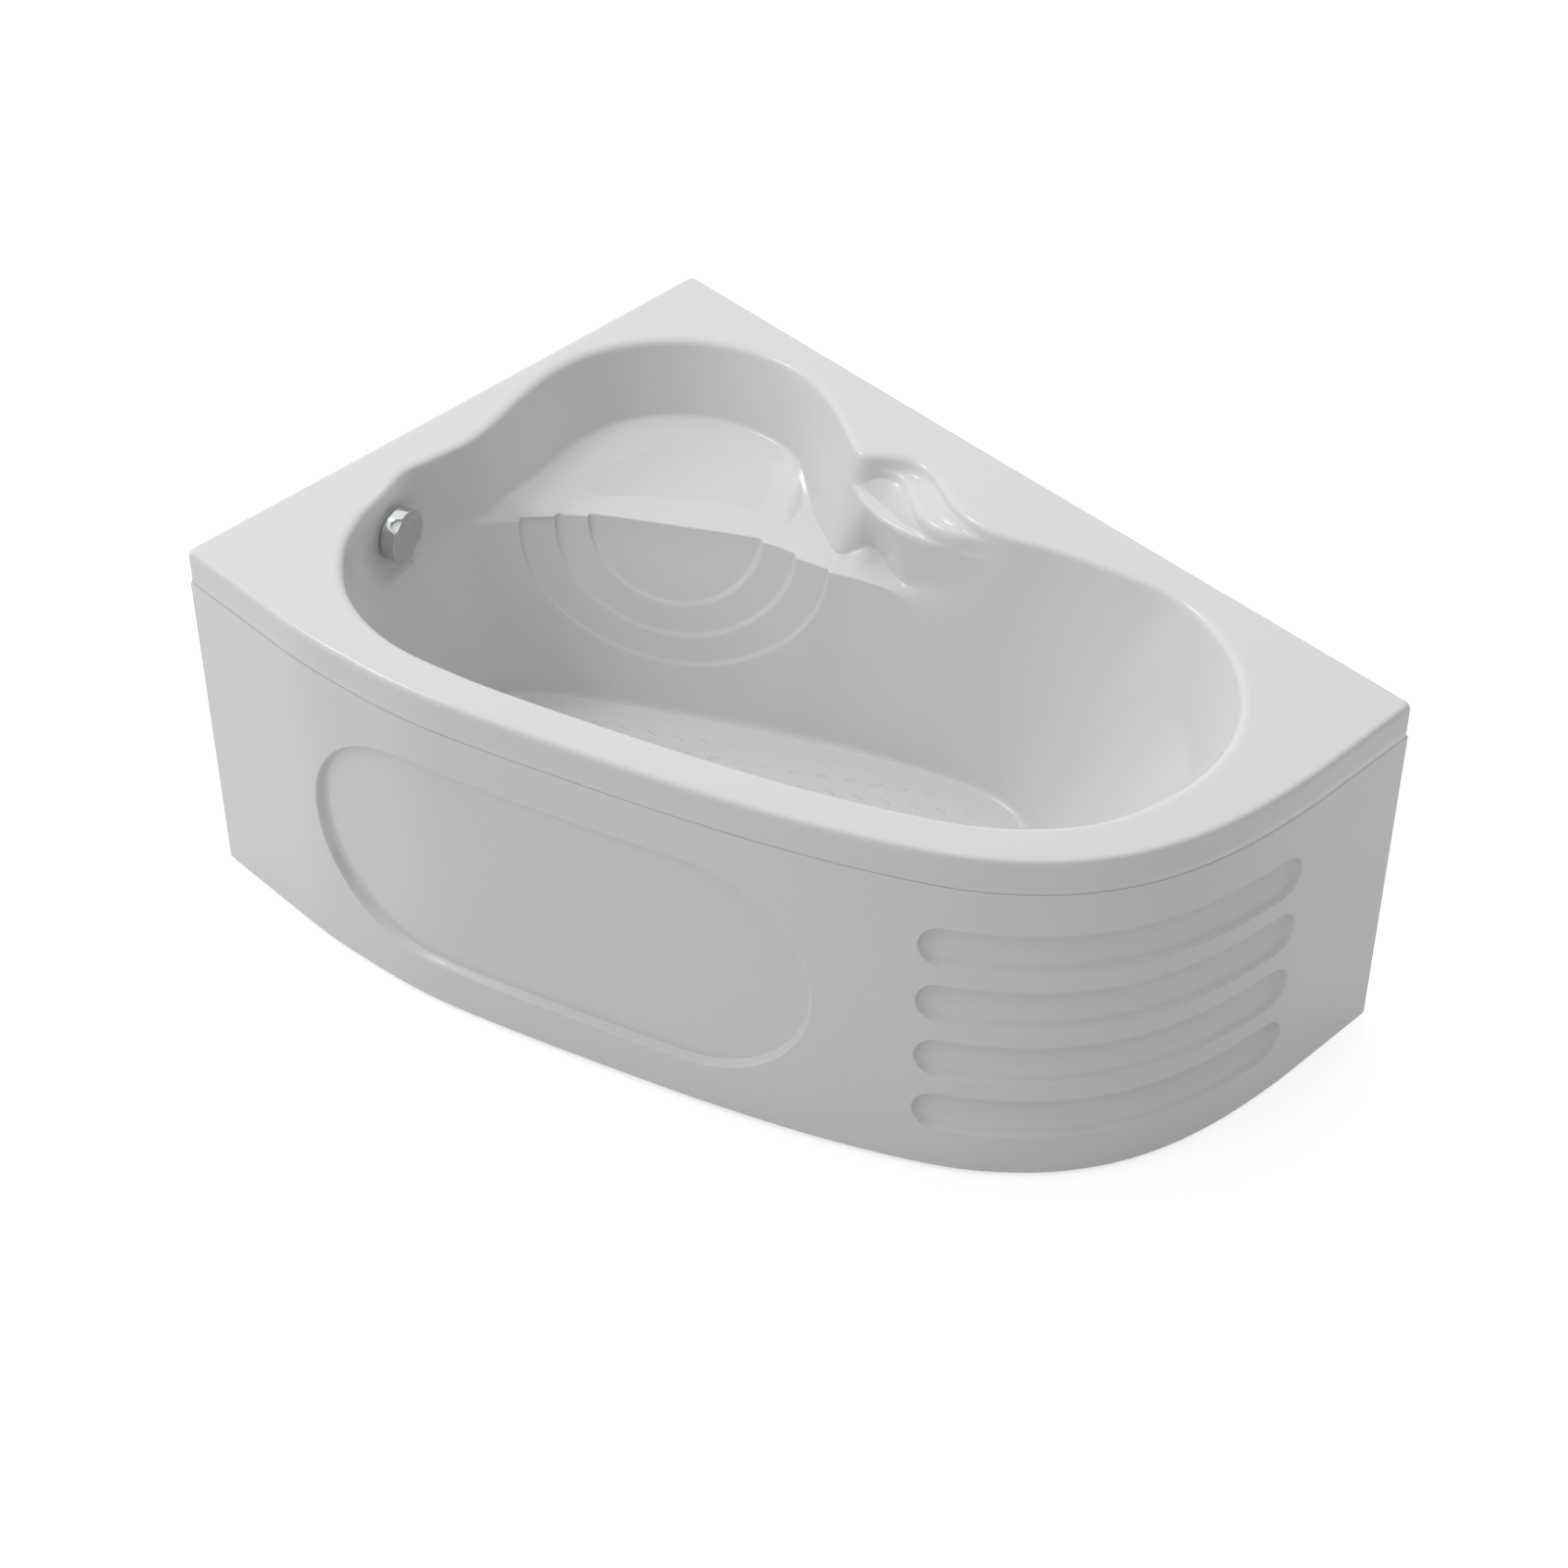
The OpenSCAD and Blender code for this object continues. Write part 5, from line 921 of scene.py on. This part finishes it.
def tread_height(tree, place):
    """Height from 0 to 1 of short round-ended dashes that lean left and right in turn, row by row,
    kept to the floor by the mesh's own tread attribute."""
    rows = {"Vector": place, "Rotation": (0.0, 0.0, TREAD_TURN),
            "Scale": (TREAD_DASH * MM, TREAD_ROW * MM, 1.0)}
    rows = add_node(tree, "Mapping", rows, vector_type="TEXTURE")
    along, across, _ = add_node(tree, "SeparateXYZ", [rows]).outputs
    values = {"along": along, "across": across}
    for name, operation, *inputs in TREAD_STEPS:
        inputs = [values.get(value, value) for value in inputs]
        values[name] = add_node(tree, "Math", inputs, operation=operation)
    dash = (values["far"], TREAD_WIDE / 4, TREAD_WIDE * 3 / 4, 1.0, 0.0)
    dash = add_node(tree, "MapRange", dash, interpolation_type="SMOOTHSTEP")
    mask = add_node(tree, "Attribute", attribute_name="tread").outputs["Fac"]
    return add_node(tree, "Math", (dash, mask), operation="MULTIPLY")


def metal(name, light, dark, roughness, grain_mm, bump_mm, cells=False):
    """A bare or plated metal: grain_mm is the size of its spangle, polish haze or casting skin."""
    material, tree = new_material(name)
    place = add_node(tree, "TexCoord").outputs["Object"]
    if cells:
        cell = add_node(tree, "TexVoronoi", {"Vector": place, "Scale": METRE / grain_mm})
        grain = add_node(tree, "SeparateColor", [cell.outputs["Color"]]).outputs["Red"]
    else:
        grain = add_node(tree, "TexNoise", {"Vector": place, "Scale": METRE / grain_mm, "Detail": 3.0})
    close_skin(tree, (grain, dark, light), (grain, 0.2, 0.8, roughness * 0.8, roughness * 1.25),
               (grain, bump_mm), Metallic=1.0)
    return material


def board(name):
    """Bare chipboard: pressed flakes 6 mm across in browns, with a matt sawn surface 1.5 mm fine."""
    material, tree = new_material(name)
    place = add_node(tree, "TexCoord").outputs["Object"]
    flake = add_node(tree, "TexVoronoi", {"Vector": place, "Scale": METRE / 6})
    tone = add_node(tree, "SeparateColor", [flake.outputs["Color"]]).outputs["Green"]
    fine = add_node(tree, "TexNoise", {"Vector": place, "Scale": METRE / 1.5, "Detail": 3.0})
    flakes = {FACTOR: tone, FIRST: "#a98a5c", SECOND: "#d2b98c"}
    flakes = add_node(tree, "Mix", flakes, data_type="RGBA").outputs[MIXED]
    sawn = add_node(tree, "MapRange", (fine, 0.3, 0.7, 0.0, 0.5), interpolation_type="SMOOTHSTEP")
    rough = add_node(tree, "Math", (tone, fine), operation="ADD")
    close_skin(tree, (sawn, flakes, "#8f7347"), 0.82, (rough, 0.25))
    return material


def plastic(name, light, dark, roughness, skin_mm=2.0, bump_mm=0.03):
    """A moulded plastic or rubber: its tone drifts over 60 mm, and its mould skin is skin_mm fine."""
    material, tree = new_material(name)
    place = add_node(tree, "TexCoord").outputs["Object"]
    skin = add_node(tree, "TexNoise", {"Vector": place, "Scale": METRE / skin_mm, "Detail": 2.0})
    drift = add_node(tree, "TexNoise", {"Vector": place, "Scale": METRE / 60, "Detail": 2.0})
    close_skin(tree, (drift, dark, light), (skin, 0.3, 0.7, roughness * 0.9, roughness * 1.1),
               (skin, bump_mm))
    return material


def make_materials(light, dark):
    """Every material by its name in the record's slots. The two colours are the acrylic's."""
    return {
        "acrylic": acrylic("acrylic", light, dark),
        # bright chrome plate over cast brass, wiped clean: haze patches 30 mm across
        "chrome": metal("chrome_plate", "#d2d5d4", "#c4c8c7", 0.07, 30, 0.004),
        # hot-dip zinc: spangle crystals about 14 mm across
        "galvanised_steel": metal("galvanised_steel", "#b9bec2", "#8f979d", 0.42, 14, 0.03, cells=True),
        # bright zinc plate on pressed steel, with haze 9 mm across
        "zinc_steel": metal("zinc_plate", "#c9c8c0", "#a9a89f", 0.32, 9, 0.01),
        # turned brass, with tool haze 5 mm across
        "brass": metal("turned_brass", "#c9a455", "#a8843c", 0.25, 5, 0.01),
        "board": board("chipboard"),
        # nitrile rubber seals, moulded matt
        "rubber": plastic("nitrile_rubber", "#242424", "#161616", 0.75, 1.5, 0.05),
        # white polypropylene, half matt
        "white_plastic": plastic("polypropylene_white", "#dfdfda", "#d3d3cd", 0.38),
        # grey polyethylene, softer and waxier
        "grey_plastic": plastic("polyethylene_grey", "#8f9193", "#7d7f82", 0.45),
        # black polypropylene, as on pipe nuts and clips
        "black_plastic": plastic("polypropylene_black", "#2b2b2d", "#1d1d1f", 0.5),
        # glass-filled nylon of the feet, whose fibres leave a coarse matt skin
        "foot_plastic": plastic("glass_filled_nylon", "#34343a", "#26262a", 0.6, 1.0, 0.05),
    }


# Settings and operators
class TubSettings(bpy.types.PropertyGroup):
    """Sizes of the moulded details that the driving dimensions leave free, and the acrylic's colours."""

    arc_step: bpy.props.FloatProperty(
        name="Arc step", description="Depth of each nested arc on the seat's riser",
        default=9.0 * MM, min=0.0, max=14.0 * MM, subtype="DISTANCE", unit="LENGTH")
    riser_rows: bpy.props.IntProperty(
        name="Riser rows", description="Rows of faces down the riser of the seat",
        default=96, min=20, max=120)
    recess_soft: bpy.props.FloatProperty(
        name="Recess edge", description="Width of the soft wall of each recess in the panel",
        default=9.0 * MM, min=6.0 * MM, max=30.0 * MM, subtype="DISTANCE", unit="LENGTH")
    acrylic_light: bpy.props.FloatVectorProperty(
        name="Acrylic", description="Colour of the acrylic of tub and panel",
        default=linear("#dadada"), min=0.0, max=1.0, size=4, subtype="COLOR")
    acrylic_dark: bpy.props.FloatVectorProperty(
        name="Acrylic shade", description="Darkest colour to which the acrylic's tone drifts",
        default=linear("#d7d7d7"), min=0.0, max=1.0, size=4, subtype="COLOR")


class StageSettings(bpy.types.PropertyGroup):
    """Light and camera of the stage."""

    key_strength: bpy.props.FloatProperty(
        name="Key light", description="Power in watts of the soft light to the left of the bath",
        default=28.0, min=0.0, subtype="POWER", unit="POWER")
    world_strength: bpy.props.FloatProperty(
        name="Room light", description="Strength of the room's light", default=0.765, min=0.0)
    lens: bpy.props.FloatProperty(
        name="Lens", description="Focal length of the camera in millimetres", default=80.107, min=20.0)


MATERIALS = {}


def finish_piece(made, nodes, body, material_slot):
    """Gives a piece its material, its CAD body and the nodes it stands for."""
    made.data.materials.clear()
    made.data.materials.append(MATERIALS[material_slot])
    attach(made, body)
    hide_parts(*nodes)
    return made


class BATH_OT_materials(bpy.types.Operator):
    """Makes the materials and gives each CAD node that stays in view its own."""

    bl_idname = "bath.materials"
    bl_label = "Materials"

    def execute(self, context):
        settings = context.scene.bath_tub
        MATERIALS.update(make_materials(settings.acrylic_light, settings.acrylic_dark))
        nodes = dict(frame["nodes"])
        for row in frame["record"]["subparts"]:
            mesh = nodes.pop(row["node"]).data
            mesh.materials.clear()
            mesh.materials.append(MATERIALS[row["material_slot"]])
        if nodes:
            raise RuntimeError(f"CAD nodes without a material: {sorted(nodes)}")
        return {"FINISHED"}


# How far the cuts of the holes reach below and above the floor, and behind and before the wall
FLOOR_CUT, WALL_CUT, CUT_TURNS = (-20, 10), (-30, 20), 64


class BATH_OT_tub(bpy.types.Operator):
    """Builds the moulded tub with its seat, soap shelves, nested arcs and holes."""

    bl_idname = "bath.tub"
    bl_label = "Tub"

    def execute(self, context):
        settings = context.scene.bath_tub
        points, faces = tub_surface(settings.arc_step / MM, settings.riser_rows)
        tub = mesh_object("tub", points, outward(points, faces))
        knob, axis, waste = fitting_places()
        cutters = []
        for centre, along, (low, high) in ((waste, (0, 0, 1), FLOOR_CUT), (knob, axis, WALL_CUT)):
            drum = [(0, low), (HOLE_R, low), (HOLE_R, high), (0, high)]
            cutter = mesh_object("cutter", *revolved(drum, centre, along, CUT_TURNS), smooth=False)
            cut = tub.modifiers.new("hole", "BOOLEAN")
            cut.operation, cut.object, cut.solver = "DIFFERENCE", cutter, "MANIFOLD"
            cutters.append(cutter)
        apply_modifiers(tub)
        for cutter in cutters:
            bpy.data.objects.remove(cutter)
        paint_tread(tub)
        finish_piece(tub, ["tub_shell"], "bath", "acrylic")
        return {"FINISHED"}


# Fewer faces than this mean that a cut has gone wrong
LEAST_FACES = 100


def apply_modifiers(made):
    """Turns a piece's modifiers into its mesh, with normals that keep wide flats flat."""
    weighted = made.modifiers.new("normals", "WEIGHTED_NORMAL")
    weighted.mode, weighted.weight, weighted.keep_sharp = "FACE_AREA", 50, True
    graph = bpy.context.evaluated_depsgraph_get()
    mesh = bpy.data.meshes.new_from_object(made.evaluated_get(graph))
    made.modifiers.clear()
    old, made.data = made.data, mesh
    bpy.data.meshes.remove(old)
    if len(mesh.polygons) < LEAST_FACES:
        raise RuntimeError(f"the cut left nothing of {made.name}")


# Tread: how far it stays inside the floor's edge, where it fades in, and how level its ground is
TREAD_MARGIN, TREAD_FADE, TREAD_LEVEL = 52.0, 14.0, 0.6


def paint_tread(tub):
    """The attribute that keeps the tread to the flat of the floor, fading out before its edge."""
    mesh = tub.data
    co = np.zeros(len(mesh.vertices) * 3, np.float32)
    mesh.vertices.foreach_get("co", co)
    co = co.reshape(-1, 3) / MM
    core = places(CORE_SHARE)[0]
    away = co[:, :2] - core
    reach = np.linalg.norm(away, axis=1)
    dirs = away / np.maximum(reach, 1e-6)[:, None]
    edge = nearest(smooth_line(places(FLOOR_SHARES), closed=True), core, dirs)
    inside = np.nan_to_num(ease((edge - reach - TREAD_MARGIN) / TREAD_FADE), posinf=0)
    level = np.abs(co[:, 2] - (DECK_Z - WELL_DEPTH)) < TREAD_LEVEL
    attribute = mesh.attributes.new("tread", "FLOAT", "POINT")
    attribute.data.foreach_set("value", (inside * level).astype(np.float32))


# Angles in degrees above which an edge of the panel and of a fitting is sharp
PANEL_SHARP, FITTING_SHARP = 40, 38


class BATH_OT_panel(bpy.types.Operator):
    """Builds the front panel with its oval and slot recesses, and the tongue at its top."""

    bl_idname = "bath.panel"
    bl_label = "Front panel"

    def execute(self, context):
        line = FrontLine()
        oval_span, slot_span = ([line.total * share for share in shares]
                                for shares in (OVAL_SPAN_SHARE, SLOT_SPAN_SHARE))
        recesses = [[*oval_span, RECESS_TOP - OVAL_HIGH, RECESS_TOP, OVAL_DEPTH, OVAL_TILT]]
        for k in range(SLOT_COUNT):
            top = RECESS_TOP - k * SLOT_PITCH
            recesses.append([*slot_span, top - SLOT_HIGH, top, SLOT_DEPTH, SLOT_TILT])
        points, faces = panel_surface(line, recesses, context.scene.bath_tub.recess_soft / MM)
        side, low = SHELL_WALL + PANEL_WALL, SHOULDER_TOP - SHOULDER_HIGH
        back = TONGUE_INSET + TONGUE_WALL
        tongue_points, tongue_faces = box_strip(line, side, line.total - side, [
            (SHOULDER_START, low), (back, low), (back, PANEL_HIGH), (TONGUE_INSET, PANEL_HIGH),
            (TONGUE_INSET, SHOULDER_TOP), (SHOULDER_START, SHOULDER_TOP)])
        faces = outward(points, faces)
        faces += [[v + len(points) for v in face] for face in outward(tongue_points, tongue_faces)]
        panel = mesh_object("front_panel_skin", np.vstack([points, tongue_points]), faces)
        panel.data.set_sharp_from_angle(angle=math.radians(PANEL_SHARP))
        apply_modifiers(panel)
        finish_piece(panel, ["front_panel"], "bath", "acrylic")
        return {"FINISHED"}


class BATH_OT_fittings(bpy.types.Operator):
    """Builds the chrome knob and the turned flange, plug and ring."""

    bl_idname = "bath.fittings"
    bl_label = "Chrome fittings"

    def execute(self, context):
        wall, axis, floor = fitting_places()
        up = (0.0, 0.0, 1.0)
        plug = revolved(PLUG_PROFILE, floor + np.array([0.0, 0.0, PLUG_HIGH]), up)
        for name, skin, node, body in (
            ("knob", knob_surface(), "overflow_knob", "overflow_control"),
            ("knob_ring", revolved(RING_PROFILE, wall, axis), "overflow_ring", "bath"),
            ("flange", revolved(FLANGE_PROFILE, floor, up), "waste_flange", "bath"),
            ("plug_cap", plug, "waste_plug", "plug"),
        ):
            made = finish_piece(mesh_object(name, *skin), [node], body, "chrome")
            made.data.set_sharp_from_angle(angle=math.radians(FITTING_SHARP))
        return {"FINISHED"}


# Stage, in metres: half side of the floor, place, aim and side of the key light, and the camera
FLOOR_HALF = 9.0
KEY_PLACE, KEY_AIM, KEY_SIZE = (-2.6, -1.0, 4.2), (0.0, 0.0, 0.3), 0.7
CAMERA_PLACE, CAMERA_DOWN, CAMERA_ROUND = (2.796757, -2.727537, 3.901177), 42.473, 45.718
SENSOR_WIDE, CAMERA_FAR = 36.0, 60.0
# Colour of the floor, and the glow that lifts what the camera sees of it to white
FLOOR_COLOUR, FLOOR_GLOW = "#cfcfcf", 0.62
WHITE = (1.0, 1.0, 1.0, 1.0)
# Shares of the room's light that come from the left, from the front and from above
ROOM_LEFT, ROOM_FRONT, ROOM_TOP = 0.725, 0.07, 0.55


class BATH_OT_stage(bpy.types.Operator):
    """Puts up the white floor, the soft key light, the room's light and the camera."""

    bl_idname = "bath.stage"
    bl_label = "Stage"

    def execute(self, context):
        settings = context.scene.bath_stage
        half = FLOOR_HALF * METRE
        corners = [[-half, -half, 0], [half, -half, 0], [half, half, 0], [-half, half, 0]]
        floor = mesh_object("studio_floor", corners, [[0, 1, 2, 3]], smooth=False)
        floor.data.materials.append(self.floor_material())
        key = self.key(context, settings.key_strength)
        self.room(context, settings.world_strength)
        self.camera(context, settings.lens)
        context.scene.view_settings.view_transform = "Standard"
        return {"FINISHED"}

    @staticmethod
    def floor_material():
        """Pale painted floor that looks plain white to the camera and keeps the bath's shadow: where
        the camera looks, the share of light that the floor shows is lifted to white by its glow."""
        material, tree = new_material("studio_floor")
        path = add_node(tree, "LightPath").outputs
        seen = (path["Is Camera Ray"], path["Is Glossy Ray"])
        seen = (add_node(tree, "Math", seen, operation="MAXIMUM"), path["Is Transmission Ray"])
        glow = (add_node(tree, "Math", seen, operation="MAXIMUM"), FLOOR_GLOW)
        close_material(tree, {
            "Base Color": FLOOR_COLOUR,
            "Roughness": 0.9,
            "Specular IOR Level": 0.0,
            "Emission Color": WHITE,
            "Emission Strength": add_node(tree, "Math", glow, operation="MULTIPLY"),
        })
        return material

    @staticmethod
    def key(context, power):
        """The square soft light to the left, turned to the bath."""
        data = bpy.data.lights.new("key_light", "AREA")
        data.shape, data.size, data.energy = "SQUARE", KEY_SIZE, power
        lamp = bpy.data.objects.new("key_light", data)
        context.scene.collection.objects.link(lamp)
        lamp.location = KEY_PLACE
        lamp.rotation_euler = (Vector(KEY_AIM) - Vector(KEY_PLACE)).to_track_quat("-Z", "Y").to_euler()
        return lamp

    @staticmethod
    def room(context, strength):
        """Soft room light from the left and from above, strength * (left (1 - x) + front (1 - y) +
        top z) in a direction (x, y, z). The camera sees plain white."""
        world = bpy.data.worlds.new("studio")
        world.use_nodes = True
        context.scene.world = world
        tree = world.node_tree
        tree.nodes.clear()
        shares = (-ROOM_LEFT, -ROOM_FRONT, ROOM_TOP)
        direction = add_node(tree, "TexCoord").outputs["Generated"]
        swept = add_node(tree, "VectorMath", (direction, shares), operation="DOT_PRODUCT").outputs["Value"]
        swept = add_node(tree, "Math", (swept, ROOM_LEFT + ROOM_FRONT), operation="ADD")
        lit = add_node(tree, "Math", (swept, strength), operation="MULTIPLY")
        seen = add_node(tree, "LightPath").outputs["Is Camera Ray"]
        shown = add_node(tree, "Mix", {"Factor": seen, "A": lit, "B": 1.0})
        back = add_node(tree, "Background", {"Color": WHITE, "Strength": shown})
        add_node(tree, "OutputWorld", [back])

    @staticmethod
    def camera(context, lens):
        """The photograph's camera: 45.7 degrees round and 42.5 degrees down, without roll."""
        data = bpy.data.cameras.new("photo_camera")
        data.lens, data.sensor_width, data.sensor_fit = lens, SENSOR_WIDE, "HORIZONTAL"
        data.clip_end = CAMERA_FAR
        camera = bpy.data.objects.new("photo_camera", data)
        context.scene.collection.objects.link(camera)
        camera.location = CAMERA_PLACE
        camera.rotation_euler = (math.radians(90 - CAMERA_DOWN), 0.0, math.radians(CAMERA_ROUND))
        context.scene.camera = camera


class BATH_PT_panel(bpy.types.Panel):
    """Sidebar with the bathtub's settings and steps."""

    bl_label = "Corner Bathtub"
    bl_idname = "BATH_PT_panel"
    bl_space_type = "VIEW_3D"
    bl_region_type = "UI"
    bl_category = "Bathtub"

    def draw(self, context):
        for settings in (context.scene.bath_tub, context.scene.bath_stage):
            column = self.layout.column(align=True)
            for name in settings.__annotations__:
                column.prop(settings, name)
        for step in STEPS:
            self.layout.operator(step.bl_idname)


STEPS = (BATH_OT_materials, BATH_OT_tub, BATH_OT_panel, BATH_OT_fittings, BATH_OT_stage)
CLASSES = (TubSettings, StageSettings, *STEPS, BATH_PT_panel)


def register():
    for one in CLASSES:
        bpy.utils.register_class(one)
    bpy.types.Scene.bath_tub = bpy.props.PointerProperty(type=TubSettings)
    bpy.types.Scene.bath_stage = bpy.props.PointerProperty(type=StageSettings)


def unregister():
    del bpy.types.Scene.bath_stage
    del bpy.types.Scene.bath_tub
    for one in reversed(CLASSES):
        bpy.utils.unregister_class(one)


def plain(box):
    """A box of two corners as plain lists of metres."""
    return [[float(v) for v in corner] for corner in box]


def main():
    register()
    bpy.ops.bath.materials()
    bpy.ops.bath.tub()
    bpy.ops.bath.panel()
    bpy.ops.bath.fittings()
    bpy.ops.bath.stage()


if __name__ == "__main__":
    main()
